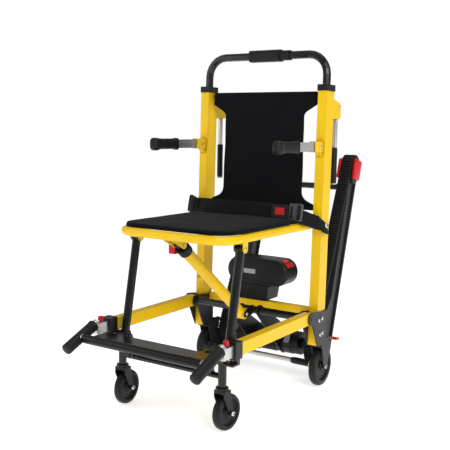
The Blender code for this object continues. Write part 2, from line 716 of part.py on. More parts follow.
def carry_frame():
    """The two bars that slide in the rails, their bent grip tubes and the crossbar between them."""
    parts = []
    along = (Vector(GRIP_END) - Vector(GRIP_START)).normalized()
    core_start = Vector(GRIP_START) - along * 0.014
    core_end = Vector(GRIP_END) - along * 0.006
    for _, side in SIDES:
        x = side * HALF_SPAN
        half_w, half_h = CARRY_BAR_WIDTH / 2, CARRY_BAR_HEIGHT / 2
        parts.append(box((x - half_w, CARRY_BAR_FRONT, RAIL_Z - half_h), (x + half_w, CARRY_BAR_REAR, RAIL_Z + half_h)))
        parts.append(rod((x, *core_start), (x, *core_end), GRIP_R - 0.0045))
    middle = (Vector(GRIP_START) + Vector(GRIP_END)) / 2
    crossbar = across(-HALF_SPAN, HALF_SPAN, middle, CROSSBAR_R, 16)
    holes = [rod((side * HALF_SPAN, BUTTON_Y, RAIL_Z), (side * HALF_SPAN, BUTTON_Y, RAIL_Z + 0.05), 0.0046, 14)
             for _, side in SIDES]
    finish(cut(union(crossbar, *parts), *holes), "carry_frame", BARE)


def carry_grip(name, side):
    """A rubber sleeve on the bent grip tube, with an opening on its inner side for the crossbar."""
    x = side * HALF_SPAN
    body = rod((x, *GRIP_START), (x, *GRIP_END), GRIP_R, 20)
    along = (Vector(GRIP_END) - Vector(GRIP_START)).normalized()
    core_start = Vector(GRIP_START) - along * 0.014
    core_end = Vector(GRIP_END) - along * (0.006 - GAP)
    bore = rod((x, *core_start), (x, *core_end), GRIP_R - 0.0045 + GAP)
    middle = (Vector(GRIP_START) + Vector(GRIP_END)) / 2
    low, high = sorted((0.0, x))
    opening = across(low, high, middle, CROSSBAR_R + GAP, 16)
    clear = box((x - 0.02, CARRY_BAR_FRONT - GAP, RAIL_Z - 0.03), (x + 0.02, core_start.x + 0.03, RAIL_Z + 0.03))
    finish(cut(body, bore, opening, clear), f"carry_grip_{name}", RUBBER)


def lock_button(name, side):
    """A red mushroom button whose stem sits in a hole in the carry bar."""
    x = side * HALF_SPAN
    top = RAIL_Z + CARRY_BAR_HEIGHT / 2
    cap = rod((x, BUTTON_Y, top + 0.0060), (x, BUTTON_Y, top + 0.0170), BUTTON_R, 16, BUTTON_R * 0.85)
    stem = rod((x, BUTTON_Y, top - 0.008), (x, BUTTON_Y, top + 0.008), 0.0040, 12)
    finish(union(cap, stem), f"lock_button_{name}", RED_PLASTIC, (x, BUTTON_Y, top))


def footrest():
    """The folding foot board with its two hinge arms."""
    y, z = FOOT_HINGE
    rear = y - 0.030
    board = slab(rounded([(-FOOT_HALF, rear - FOOT_DEPTH, 0.010), (FOOT_HALF, rear - FOOT_DEPTH, 0.010),
                          (FOOT_HALF, rear, 0.010), (-FOOT_HALF, rear, 0.010)], 3),
                 z - FOOT_THICK / 2 + 0.004, z + FOOT_THICK / 2 + 0.004, ACROSS_Z)
    parts, holes = [], []
    for _, side in SIDES:
        x = side * 0.135
        parts.append(slab(link_outline((rear - 0.010, z + 0.003), 0.0045, FOOT_HINGE, 0.0085), x - 0.005, x + 0.005))
        holes.append(across(x - 0.02, x + 0.02, FOOT_HINGE, PIN_R + PIN_CLEAR, 14))
    finish(cut(union(board, *parts), *holes), "footrest", BLACK_TUBE, (0, *FOOT_HINGE))


# Casters

def caster_frame():
    """The two stems on shelves under the rails, the tube between them and the lugs for the legs and the footrest."""
    rail_bottom = RAIL_Z - RAIL_HEIGHT / 2 - GAP
    parts = []
    for _, side in SIDES:
        x = side * STEM_X
        parts.append(rod((x, STEM_Y, STEM_BOTTOM), (x, STEM_Y, SHELF_Z), STEM_R))
        low, high = sorted((side * (STEM_X - 0.011), side * (HALF_SPAN - 0.001)))
        parts.append(box((low, STEM_Y - 0.011, SHELF_Z - SHELF_THICK), (high, STEM_Y + 0.022, SHELF_Z)))
        low, high = sorted((side * (HALF_SPAN - 0.011), side * HALF_SPAN))
        parts.append(box((low, STEM_Y + 0.008, SHELF_Z - SHELF_THICK / 2), (high, STEM_Y + 0.021, rail_bottom)))
        lug_x = side * (LEG_X + LEG_R + 0.0012)
        low, high = sorted((lug_x, lug_x + side * SHEET))
        parts.append(slab(link_outline((LEG_FOOT[0] - 0.003, SHELF_Z + 0.004), 0.0085, LEG_FOOT, 0.0100), low, high))
        low, high = sorted((lug_x + side * SHEET / 2, side * (LEG_X - LEG_R - 0.001)))
        parts.append(across(low, high, LEG_FOOT, PIN_R, 14))
        foot_x = side * 0.135
        arm = link_outline((STEM_Y, CROSS_TUBE_Z), 0.0085, FOOT_HINGE, 0.0085)
        for s in (-1, 1):
            low, high = sorted((foot_x + s * 0.0056, foot_x + s * (0.0056 + SHEET)))
            parts.append(slab(arm, low, high))
        parts.append(across(foot_x - 0.008, foot_x + 0.008, FOOT_HINGE, PIN_R, 14))
    cross = across(-STEM_X, STEM_X, (STEM_Y, CROSS_TUBE_Z), CROSS_TUBE_R, 14)
    finish(union(cross, *parts), "caster_frame", BLACK_TUBE)


def caster_place(side):
    """Carries a caster modelled at the origin, trailing to +Y, to its stem."""
    return Matrix.Translation((side * STEM_X, STEM_Y, 0)) @ Matrix.Rotation(CASTER_TURN[side], 4, "Z")


def caster_fork(name, side):
    """The swivel crown, its two fork legs and the axle bolt."""
    top = STEM_BOTTOM - GAP
    crown = rod((0, 0, top - 0.010), (0, 0, top), 0.0175, 20)
    leg_gap = CASTER_WIDTH / 2 + 0.002
    yoke = box((-leg_gap - SHEET, -0.012, top - 0.0165), (leg_gap + SHEET, 0.016, top - 0.008))
    leg = link_outline((0.002, top - 0.022), 0.0150, (CASTER_TRAIL, CASTER_R), 0.0085)
    legs = [slab(leg, *sorted((s * leg_gap, s * (leg_gap + SHEET)))) for s in (-1, 1)]
    clear = rod((-0.04, CASTER_TRAIL, CASTER_R), (0.04, CASTER_TRAIL, CASTER_R), CASTER_R + 0.0035, 32)
    yoke = cut(yoke, clear)
    axle = bolt(-leg_gap - SHEET, leg_gap + SHEET, (CASTER_TRAIL, CASTER_R), 0.0035)
    body = moved(union(crown, yoke, *legs, axle), caster_place(side))
    finish(body, f"caster_fork_{name}", PLASTIC, (side * STEM_X, STEM_Y, CASTER_R))


def wheel_profile(radius, width, bore, shoulder):
    """A ring profile: rounded tread, slim web and wide hub, outer side from top to bottom."""
    half = width / 2
    rim = radius - shoulder * 2.2
    upper = [(bore, half), (bore + 0.010, half), (bore + 0.012, half * 0.55), (rim, half * 0.55),
             (rim + 0.002, half * 0.95), (radius - shoulder * 0.6, half * 0.9), (radius, half * 0.3)]
    return upper + [(r, -height) for r, height in reversed(upper)]


def caster_wheel(name, side):
    wheel = turned(wheel_profile(CASTER_R, CASTER_WIDTH, 0.0035 + PIN_CLEAR, 0.006), 24)
    stand = Matrix.Translation((0, CASTER_TRAIL, CASTER_R)) @ Matrix.Rotation(math.pi / 2, 4, "Y")
    place = caster_place(side)
    centre = place @ Vector((0, CASTER_TRAIL, CASTER_R))
    finish(moved(wheel, place @ stand), f"caster_wheel_{name}", RUBBER, centre)


# Rear wheels, plates and brakes

def side_plate(name, side):
    """The folded steel plate round the post's foot that holds the rail, the rear wheel and the axle rod."""
    x = side * HALF_SPAN
    inner = POST_WIDTH / 2 + GAP
    outer = inner + PLATE_THICK
    rear = lean_y(0.25) + POST_DEPTH / 2 + 2 * GAP
    axle = (REAR_AXLE_Y, REAR_WHEEL_R)
    lobe = link_outline(RAIL_HINGE, 0.0205, (-0.004, 0.226), 0.0205)
    upper = rounded([(-0.024, 0.140, 0.004), (rear + SHEET, 0.140, 0), (rear + SHEET, 0.2465, 0.004),
                     (-0.030, 0.2465, 0.002), (-0.062, 0.216, 0.004)], 3)
    lower = rounded([(axle[0] - 0.010, axle[1] - 0.007, 0.006), (axle[0] + 0.010, axle[1] - 0.007, 0.006),
                     (axle[0] + 0.040, 0.154, 0.006), (axle[0] - 0.035, 0.158, 0.004)], 3)
    parts = []
    for s in (-1, 1):
        low, high = sorted((x + s * inner, x + s * outer))
        parts.extend(slab(outline, low, high) for outline in (lobe, upper, lower))
    parts.append(box((x - outer, rear, 0.150), (x + outer, rear + SHEET, 0.2465)))
    parts.append(box((x - outer, -0.004, 0.1325), (x + outer, BRAKE_HINGE[0] - 0.010, 0.1360)))
    parts.append(bolt(x - outer, x + outer, RAIL_HINGE, PIN_R + 0.001))
    parts.append(bolt(x - outer, x + outer, axle, 0.0045, 0.006))
    parts.append(bolt(x - outer, x + outer, BRAKE_HINGE, BRAKE_PIN_R))
    finish(union(*parts), f"side_plate_{name}", DARK_PLATE)


def rear_wheel(name, side):
    wheel = turned(wheel_profile(REAR_WHEEL_R, REAR_WHEEL_WIDTH, 0.0045 + PIN_CLEAR, 0.008), 28)
    centre = Vector((side * HALF_SPAN, REAR_AXLE_Y, REAR_WHEEL_R))
    place = Matrix.Translation(centre) @ Matrix.Rotation(math.pi / 2, 4, "Y")
    finish(moved(wheel, place), f"rear_wheel_{name}", RUBBER, centre)


def brake_pedal(name, side):
    """A foot lever behind the plate with a broad tip, on its hinge pin."""
    x = side * HALF_SPAN
    y, z = BRAKE_HINGE
    lever = box((x - 0.007, 0, -0.003), (x + 0.007, BRAKE_REACH - 0.010, 0.003))
    tip = box((x - 0.015, BRAKE_REACH - 0.022, -0.0045), (x + 0.015, BRAKE_REACH, 0.0035))
    arm = moved(union(lever, tip), Matrix.Translation((0, y, z)) @ Matrix.Rotation(-BRAKE_DROP, 4, "X"))
    eye = across(x - 0.012, x + 0.012, BRAKE_HINGE, 0.0065)
    hole = across(x - 0.03, x + 0.03, BRAKE_HINGE, BRAKE_PIN_R + PIN_CLEAR, 12)
    finish(cut(union(eye, arm), hole), f"brake_pedal_{name}", RED_PLASTIC, (x, y, z))


def rear_axle():
    """The bare rod between the two rear wheel plates, with a black sleeve near each end."""
    reach = HALF_SPAN - POST_WIDTH / 2 - PLATE_THICK - 0.0040
    point = (REAR_AXLE_Y, REAR_WHEEL_R)
    sleeves = [across(*sorted((side * (reach - 0.055), side * (reach - 0.012))), point, AXLE_ROD_R + 0.004, 16)
               for _, side in SIDES]
    finish(union(across(-reach, reach, point, AXLE_ROD_R, 16), *sleeves), "rear_axle", BARE)


# Cross members, battery and drive

def inside_plates():
    return HALF_SPAN - POST_WIDTH / 2 - PLATE_THICK - 2 * GAP - 0.0018


def pivot_tube():
    """The round tube on the rail hinge's axis, with end flanges and the two lugs that hold the brace's foot."""
    reach = inside_plates()
    parts = []
    for _, side in SIDES:
        low, high = sorted((side * (reach - 0.007), side * reach))
        parts.append(across(low, high, RAIL_HINGE, PIVOT_FLANGE_R, 18))
        low, high = sorted((side * (BRACE_R + 0.0010), side * (BRACE_R + 0.0010 + SHEET)))
        parts.append(slab(link_outline(RAIL_HINGE, 0.0150, BRACE_FOOT, 0.0110), low, high))
    parts.append(bolt(-BRACE_R - 0.0010 - SHEET, BRACE_R + 0.0010 + SHEET, BRACE_FOOT))
    finish(union(across(-reach, reach, RAIL_HINGE, PIVOT_TUBE_R, 18), *parts), "pivot_tube", BLACK_TUBE)


def battery_bar():
    """The rectangular bar between the plates that carries the battery."""
    reach = inside_plates()
    half_y, half_z = BATTERY_BAR_DEPTH / 2, BATTERY_BAR_HEIGHT / 2
    body = box((-reach, BATTERY_BAR_Y - half_y, BATTERY_BAR_Z - half_z),
               (reach, BATTERY_BAR_Y + half_y, BATTERY_BAR_Z + half_z))
    finish(body, "battery_bar", PAINT)


BASE_BOTTOM = BATTERY_BAR_Z + BATTERY_BAR_HEIGHT / 2 + GAP
PACK_BOTTOM = BASE_BOTTOM + BATTERY_BASE_HEIGHT + GAP


def battery_base():
    """The moulded dock on the bar."""
    body = slab(rounded([(-0.075, BASE_BOTTOM, 0.004), (0.030, BASE_BOTTOM, 0.004),
                         (0.038, PACK_BOTTOM - GAP, 0.004), (-0.085, PACK_BOTTOM - GAP, 0.004)], 3),
                0.002, 0.078, ACROSS_Y)
    finish(body, "battery_base", PLASTIC)


def battery_pack():
    """The lozenge-shaped battery with round ends and rounded long edges."""
    radius = BATTERY_HEIGHT / 2 - 0.001
    low, high = BATTERY_X - BATTERY_HALF, BATTERY_X + BATTERY_HALF
    top = PACK_BOTTOM + BATTERY_HEIGHT
    outline = rounded([(low, PACK_BOTTOM, radius), (high, PACK_BOTTOM, radius),
                       (high, top, radius), (low, top, radius)], 6)
    body = slab(outline, BATTERY_Y - BATTERY_DEPTH / 2, BATTERY_Y + BATTERY_DEPTH / 2, ACROSS_Y)
    bevel = body.modifiers.new("Bevel", "BEVEL")
    bevel.width = 0.010
    bevel.segments = 2
    bevel.limit_method = "ANGLE"
    bevel.angle_limit = math.radians(60)
    finish(baked(body), "battery_pack", PLASTIC, (0, BATTERY_Y, PACK_BOTTOM))


def gear_motor():
    """The motor and gearbox round the drive shaft, hung from the pivot tube by a plate."""
    motor = across(-0.055, 0.112, DRIVE, MOTOR_R, 24)
    gearbox = across(-0.118, -0.050, DRIVE, MOTOR_R + 0.007, 24)
    neck = across(0.108, 0.124, DRIVE, 0.018, 20)
    plates = [slab(link_outline(RAIL_HINGE, 0.0180, DRIVE, 0.0420), *sorted((x, x + 0.005)))
              for x in (-0.062, 0.044)]
    shaft_hole = across(-0.2, 0.2, DRIVE, SHAFT_R + 0.001, 18)
    tube_hole = across(-0.2, 0.2, RAIL_HINGE, PIVOT_TUBE_R + GAP, 20)
    bar = box((-0.2, BATTERY_BAR_Y - BATTERY_BAR_DEPTH / 2 - GAP, BATTERY_BAR_Z - BATTERY_BAR_HEIGHT / 2 - GAP),
              (0.2, BATTERY_BAR_Y + BATTERY_BAR_DEPTH / 2 + GAP, BATTERY_BAR_Z + 0.05))
    finish(cut(union(motor, gearbox, neck, *plates), shaft_hole, tube_hole, bar), "gear_motor", PLASTIC)


def drive_shaft():
    """The cross shaft with a toothed sprocket inside each track."""
    reach = TRACK_X + BELT_WIDTH / 2 + 0.003
    parts = []
    for _, side in SIDES:
        wheel = turned([(SHAFT_R - 0.001, 0.010), (0.014, 0.010), (0.016, 0.007), (SPROCKET_R, 0.007),
                        (SPROCKET_R, -0.007), (0.016, -0.007), (0.014, -0.010), (SHAFT_R - 0.001, -0.010)], 20)
        place = Matrix.Translation((side * TRACK_X, *DRIVE)) @ Matrix.Rotation(math.pi / 2, 4, "Y")
        parts.append(moved(wheel, place))
    finish(union(across(-reach, reach, DRIVE, SHAFT_R, 16), *parts), "drive_shaft", BARE, (0, *DRIVE))


# Tracks

def track_axes():
    """The idler and guide roller centres, from the sprocket's centre and the straight rear run."""
    run = Vector((math.sin(TRACK_LEAN), math.cos(TRACK_LEAN)))
    out = Vector((math.cos(TRACK_LEAN), -math.sin(TRACK_LEAN)))
    idler = Vector(DRIVE) + out * (SPROCKET_LOOP_R - IDLER_LOOP_R)
    idler += run * ((TRACK_TOP_Z - IDLER_LOOP_R - idler.y) / run.y)
    guide = Vector(DRIVE) + out * (SPROCKET_LOOP_R - IDLER_LOOP_R)
    guide += run * ((DRIVE[1] + GUIDE_RISE - guide.y) / run.y)
    return idler, guide


def track_loop(inset):
    """The belt's path seen from the side: round the sprocket and the idler, with the front run over the guide."""
    run = Vector((math.sin(TRACK_LEAN), math.cos(TRACK_LEAN)))
    out = Vector((math.cos(TRACK_LEAN), -math.sin(TRACK_LEAN)))
    idler, guide = track_axes()
    small, big = IDLER_LOOP_R - inset, SPROCKET_LOOP_R - inset
    points = []
    for step in range(11):
        angle = math.pi * step / 10
        points.append(idler + small * (out * math.cos(angle) + run * math.sin(angle)))
    points.append(guide - out * small)
    reach = guide - out * small - Vector(DRIVE)
    start = math.atan2(reach.y, reach.x) + math.acos(big / reach.length)
    end = math.atan2(out.y, out.x) + 2 * math.pi
    for step in range(17):
        angle = start + (end - start) * step / 16
        points.append(Vector(DRIVE) + big * Vector((math.cos(angle), math.sin(angle))))
    return points


def track_belt(name, side):
    """The closed rubber belt."""
    low, high = side * TRACK_X - BELT_WIDTH / 2, side * TRACK_X + BELT_WIDTH / 2
    body = slab(track_loop(0.0), low, high)
    inner = slab(track_loop(BELT_THICK), low - 0.01, high + 0.01)
    finish(cut(body, inner), f"track_belt_{name}", RUBBER, (0, *DRIVE))


def track_frame():
    """The two slide beams inside the belts, their end cheeks and the crossbar that joins them."""
    idler, _ = track_axes()
    bar_at = idler + Vector((math.sin(TRACK_LEAN), math.cos(TRACK_LEAN))) * -0.085
    parts = []
    for _, side in SIDES:
        x = side * TRACK_X
        beam = slab(track_loop(BELT_THICK + GAP), x - BEAM_WIDTH / 2, x + BEAM_WIDTH / 2)
        chamber = across(x - 0.0115, x + 0.0115, DRIVE, SPROCKET_LOOP_R - BELT_THICK + 0.004, 24)
        bore = across(x - 0.05, x + 0.05, DRIVE, SHAFT_R + 0.0008, 18)
        beam = cut(beam, chamber, bore)
        cap = link_outline(idler, IDLER_LOOP_R - 0.004, idler - Vector((math.sin(TRACK_LEAN), math.cos(TRACK_LEAN))) * 0.050,
                           IDLER_LOOP_R - 0.004)
        edge = x + side * (BELT_WIDTH / 2)
        inner_edge = x - side * (BELT_WIDTH / 2)
        parts.append(beam)
        parts.append(slab(cap, *sorted((edge + side * GAP, edge + side * 0.0045))))
        parts.append(slab(cap, *sorted((inner_edge - side * GAP, inner_edge - side * 0.0045))))
        parts.append(across(x - BELT_WIDTH / 2 - 0.003, x + BELT_WIDTH / 2 + 0.003, idler, 0.010, 16))
    bar = across(-TRACK_X, TRACK_X, bar_at, 0.010, 16)
    finish(union(bar, *parts), "track_frame", DARK_PLATE, (0, *DRIVE))


# Lap belt

STRAP_PLACE = Matrix.Translation((0, STRAP_Y, STRAP_Z)) @ Matrix.Rotation(STRAP_TILT, 4, "X")


def ribbon(path, tilted):
    """A flat band standing on edge along a path seen from above."""
    path = [Vector(point) for point in path]
    left, right = [], []
    for index, point in enumerate(path):
        along = (path[min(index + 1, len(path) - 1)] - path[max(index - 1, 0)]).normalized()
        normal = Vector((-along.y, along.x)) * (STRAP_THICK / 2)
        left.append(point + normal)
        right.append(point - normal)
    body = slab(left + right[::-1], -STRAP_WIDTH / 2, STRAP_WIDTH / 2, ACROSS_Z)
    return moved(body, STRAP_PLACE) if tilted else body


def lap_strap_left():
    """The long strap from the left post's outer side to the buckle, with its adjuster."""
    outer = HALF_SPAN + POST_WIDTH / 2 + 0.003
    path = [(-outer, 0.100), (-outer, 0.052), (-HALF_SPAN + 0.012, 0.030), (-0.165, 0.012),
            (BUCKLE_X - BUCKLE_SIZE[0] / 2 - 0.001, 0.0)]
    strap = ribbon(path, True)
    adjuster = box((-0.012, -0.004, -0.0240), (0.012, 0.004, 0.0240))
    turn = Matrix.Translation((-HALF_SPAN + 0.020, 0.026, 0)) @ Matrix.Rotation(math.radians(-24), 4, "Z")
    moved(adjuster, STRAP_PLACE @ turn)
    finish(union(strap, adjuster), "lap_strap_left", CLOTH)


def lap_strap_right():
    """The short strap from the right post's outer side, with the latch tongue at its end."""
    outer = HALF_SPAN + POST_WIDTH / 2 + 0.012
    start = BUCKLE_X + BUCKLE_SIZE[0] / 2 + 0.001
    hang = Matrix.Translation((start + 0.045, 0, 0.004)) @ Matrix.Rotation(STRAP_DROP, 4, "Y")
    side = outer - start - 0.045
    strap = ribbon([(side, 0.085), (side, 0.050), (0.012, 0.024), (-0.012, 0.004)], False)
    moved(strap, STRAP_PLACE @ hang)
    half = TONGUE_HEIGHT / 2
    tongue = moved(box((start, -0.006, -half), (start + TONGUE_LENGTH, 0.006, half)), STRAP_PLACE)
    finish(union(strap, tongue), "lap_strap_right", CLOTH)


def buckle_body():
    """The buckle's casing with a shallow pocket for its button."""
    width, depth, height = BUCKLE_SIZE
    body = box((BUCKLE_X - width / 2, -depth / 2, -height / 2), (BUCKLE_X + width / 2, depth / 2, height / 2))
    pocket = box((BUCKLE_X - 0.0165, -depth / 2 - 0.01, -0.0115), (BUCKLE_X + 0.0165, -depth / 2 + 0.006, 0.0115))
    finish(moved(cut(body, pocket), STRAP_PLACE), "buckle_body", PLASTIC)


def buckle_button():
    """The red release button in the buckle's face."""
    depth = BUCKLE_SIZE[1]
    body = box((BUCKLE_X - 0.0160, -depth / 2 - 0.001, -0.0110), (BUCKLE_X + 0.0160, -depth / 2 + 0.0025, 0.0110))
    finish(moved(body, STRAP_PLACE), "buckle_button", RED_PLASTIC)


for side_name, side_sign in SIDES:
    post(side_name, side_sign)
    collar(side_name, side_sign)
    armrest_bracket(side_name, side_sign)
    armrest_bar(side_name, side_sign)
    armrest_grip(side_name, side_sign)
    rear_handle_bracket(side_name, side_sign)
    rear_handle(side_name, side_sign)
    front_leg(side_name, side_sign)
    rail(side_name, side_sign)
    carry_grip(side_name, side_sign)
    lock_button(side_name, side_sign)
    caster_fork(side_name, side_sign)
    caster_wheel(side_name, side_sign)
    side_plate(side_name, side_sign)
    rear_wheel(side_name, side_sign)
    brake_pedal(side_name, side_sign)
    track_belt(side_name, side_sign)
push_handle()
control_sleeve()
back_top_bar()
backrest_panel()
seat_frame()
seat_pan()
seat_cushion()
brace_tube()
brace_rod()
release_button()
carry_frame()
footrest()
caster_frame()
rear_axle()
pivot_tube()
battery_bar()
battery_base()
battery_pack()
gear_motor()
drive_shaft()
track_frame()
lap_strap_left()
lap_strap_right()
buckle_body()
buckle_button()


def centre_footprint():
    """Moves the chair so that the middle of its outline on the floor is the origin."""
    bpy.context.view_layer.update()
    ends = [(piece.matrix_world @ vertex.co).y for piece in PARTS.objects for vertex in piece.data.vertices]
    for piece in PARTS.objects:
        piece.location.y -= (min(ends) + max(ends)) / 2


centre_footprint()
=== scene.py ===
"""The finished stair chair: soft goods, rubber, fasteners and materials laid over the CAD frame."""

import json
import math

import bmesh
import bpy
import numpy as np
from mathutils import Matrix, Vector


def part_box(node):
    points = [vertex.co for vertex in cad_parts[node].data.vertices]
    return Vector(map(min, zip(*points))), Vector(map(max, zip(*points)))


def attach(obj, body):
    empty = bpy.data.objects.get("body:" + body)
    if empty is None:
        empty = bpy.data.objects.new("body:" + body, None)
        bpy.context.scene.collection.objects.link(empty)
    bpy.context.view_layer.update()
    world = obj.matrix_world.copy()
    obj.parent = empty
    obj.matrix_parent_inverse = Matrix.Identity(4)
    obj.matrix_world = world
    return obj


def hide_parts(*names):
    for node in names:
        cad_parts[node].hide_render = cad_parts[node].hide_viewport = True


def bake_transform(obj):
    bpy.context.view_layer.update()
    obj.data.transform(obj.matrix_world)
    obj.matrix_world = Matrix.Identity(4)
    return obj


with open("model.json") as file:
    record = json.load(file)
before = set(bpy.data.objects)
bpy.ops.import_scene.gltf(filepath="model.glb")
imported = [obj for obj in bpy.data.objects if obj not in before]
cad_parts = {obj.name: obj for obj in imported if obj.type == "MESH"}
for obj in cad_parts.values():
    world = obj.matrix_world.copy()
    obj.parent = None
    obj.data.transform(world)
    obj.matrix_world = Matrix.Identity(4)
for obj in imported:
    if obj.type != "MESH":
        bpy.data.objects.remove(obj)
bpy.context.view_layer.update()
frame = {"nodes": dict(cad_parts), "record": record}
nodes = frame["nodes"]

SIDES = (("left", -1), ("right", 1))


def limits(node):
    """A CAD node's lowest and highest corners as arrays."""
    low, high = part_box(node)
    return np.array(low), np.array(high)


def centre(node):
    """The middle of a CAD node's box."""
    low, high = limits(node)
    return (low + high) / 2


# The rear axle stands this far behind the posts' foot, and every y below counts from that foot
AXLE_BEHIND = 0.035
DY = centre("rear_wheel_right")[1] - AXLE_BEHIND
HALF_SPAN = float(centre("post_right")[0])
JOINTS = {joint["name"]: joint for joint in frame["record"]["behaviour"]["joints"]}

# Pins seen from the side, as (y, z)
ARM_PIN = (DY - 0.030, 0.752)
REAR_HANDLE_PIN = (DY + 0.087, 0.872)
REAR_AXLE = (DY + AXLE_BEHIND, 0.0625)
LEG_HEAD = (DY - 0.395, 0.485)
LEG_FOOT = (DY - 0.447, 0.208)
RAIL_PIN = (DY - 0.065, 0.235)
GRIP_ROOT = (DY - 0.541, 0.2455)
GRIP_TIP = (DY - 0.651, 0.199)
# The side plate's bolts, as (distance behind the posts' foot, height)
PLATE_BOLTS = ((-0.020, 0.222), (0.000, 0.225), (-0.012, 0.176), (0.004, 0.178))
# Points on the middle plane
MOTOR_AXIS = np.array([0, DY + 0.109, 0.100])
BRACE_FOOT = np.array([0, DY - 0.100, 0.227])
BRACE_PIN = np.array([0, DY - 0.425, 0.482])
# Distances from the middle plane
LEG_X = 0.178
LEG_FOOT_X = 0.205
SEAT_STRIP_X = 0.181
CROSS_TUBE_HALF = 0.199
# Where the cushion ends, under the belt, and where the rails' black sockets end
CUSHION_REAR = DY - 0.056
SOCKET_REAR = float(DY) - 0.4585
# How strongly a plain finish mirrors the lamps
SHINE = 0.28


# ---------------------------------------------------------------- materials

def linear(code):
    """An sRGB hex colour as linear RGBA."""
    parts = [int(code[i:i + 2], 16) / 255 for i in (0, 2, 4)]
    return tuple(c / 12.92 if c <= 0.04045 else ((c + 0.055) / 1.055) ** 2.4 for c in parts) + (1.0,)


def add(tree, kind, settings=None, values=None, links=None):
    """Adds a node of a kind, sets its properties and input values, and joins inputs to other nodes'
    outputs."""
    made = tree.nodes.new("ShaderNode" + kind)
    for key, value in (settings or {}).items():
        setattr(made, key, value)
    for key, value in (values or {}).items():
        made.inputs[key].default_value = value
    for key, value in (links or {}).items():
        tree.links.new(value, made.inputs[key])
    return made


def mapping(tree, source, scale):
    """The coordinates of the piece, in metres, stretched by a scale on each axis."""
    coords = add(tree, "TexCoord")
    return add(tree, "Mapping", values={"Scale": scale},
               links={"Vector": coords.outputs[source]}).outputs[0]


def finish_material(name, colour, roughness, metallic=0.0, coat=0.0, spread=0.10, grain=900.0,
                    grain_depth=0.03, edge=0.0007, stretch=(1, 1, 1), painted_shade=0.0, worn=None, other=None):
    """A finish with a broad change of tone, a change of gloss, a fine grain in the surface and rounded
    edges.

    The argument for painted shade sets how far ambient occlusion darkens the corners and recesses; worn
    is the colour that shows through on the outer edges; other is a second colour with the axis and the
    distance from the middle plane, or from the origin, below which it covers the piece."""
    made = bpy.data.materials.new(name)
    made.use_nodes = True
    tree = made.node_tree
    shader = tree.nodes["Principled BSDF"]
    where = mapping(tree, "Object", stretch)
    broad = add(tree, "TexNoise", values={"Scale": 11.0, "Detail": 4.0, "Roughness": 0.6},
                links={"Vector": where})
    tone = add(tree, "MapRange", values={"From Min": 0.3, "From Max": 0.7, "To Min": 1 - spread,
                                         "To Max": 1 + spread},
               links={"Value": broad.outputs[0]})
    plain = add(tree, "Mix", {"data_type": "RGBA"}, {0: 0.0, 6: linear(colour), 7: linear(colour)})
    if other:
        second, axis, below = other
        axes = add(tree, "SeparateXYZ", links={0: mapping(tree, "Object", (1, 1, 1))})
        side = add(tree, "Math", {"operation": "ABSOLUTE" if axis == "X" else "ADD"}, {1: 0.0},
                   {0: axes.outputs[axis]})
        part = add(tree, "Math", {"operation": "LESS_THAN"}, {1: below}, {0: side.outputs[0]})
        plain.inputs[7].default_value = linear(second)
        tree.links.new(part.outputs[0], plain.inputs[0])
        if metallic:
            tree.links.new(add(tree, "Math", {"operation": "SUBTRACT", "use_clamp": True},
                               {0: metallic},
                               {1: part.outputs[0]}).outputs[0], shader.inputs["Metallic"])
    base = add(tree, "Mix", {"data_type": "RGBA", "blend_type": "MULTIPLY"}, {"Factor": 1.0},
               {6: plain.outputs[2], 7: tone.outputs[0]})
    result = base.outputs[2]
    # Painted shade: ambient occlusion darkens the colour in corners, creases and recesses, where shade
    # falls
    if painted_shade:
        near = add(tree, "AmbientOcclusion", {"samples": 4}, {"Distance": 0.02})
        depth = add(tree, "MapRange", values={"From Min": 0.35, "From Max": 0.9, "To Min": 1 - painted_shade,
                                              "To Max": 1.0},
                    links={"Value": near.outputs["AO"]})
        result = add(tree, "Mix", {"data_type": "RGBA", "blend_type": "MULTIPLY"}, {"Factor": 1.0},
                     {6: result, 7: depth.outputs[0]}).outputs[2]
    gloss = add(tree, "MapRange", values={"From Min": 0.25, "From Max": 0.75,
                                          "To Min": max(roughness - 0.07, 0.05),
                                          "To Max": roughness + 0.09},
                                          links={"Value": broad.outputs[0]})
    round_edge = add(tree, "Bevel", {"samples": 3}, {"Radius": edge})
    if worn:
        flat = add(tree, "NewGeometry")
        turn = add(tree, "VectorMath", {"operation": "DISTANCE"},
                   links={0: flat.outputs["Normal"], 1: round_edge.outputs[0]})
        patch = add(tree, "TexNoise", values={"Scale": 60.0, "Detail": 3.0}, links={"Vector": where})
        both = add(tree, "Math", {"operation": "MULTIPLY"},
                   links={0: turn.outputs["Value"], 1: patch.outputs[0]})
        mask = add(tree, "MapRange", values={"From Min": 0.24, "From Max": 0.40, "To Min": 0.0,
                                             "To Max": 0.7},
                   links={"Value": both.outputs[0]})
        result = add(tree, "Mix", {"data_type": "RGBA"}, {7: linear(worn)},
                     {0: mask.outputs[0], 6: result}).outputs[2]
    fine = add(tree, "TexNoise", values={"Scale": grain, "Detail": 2.0}, links={"Vector": where})
    bump = add(tree, "Bump", values={"Strength": grain_depth * 10, "Distance": 0.0004},
               links={"Height": fine.outputs[0], "Normal": round_edge.outputs[0]})
    for socket, value in (("Metallic", metallic), ("Coat Weight", coat), ("Coat Roughness", 0.12),
                          ("Specular IOR Level", SHINE)):
        shader.inputs[socket].default_value = value
    tree.links.new(result, shader.inputs["Base Color"])
    tree.links.new(gloss.outputs[0], shader.inputs["Roughness"])
    tree.links.new(bump.outputs[0], shader.inputs["Normal"])
    return made


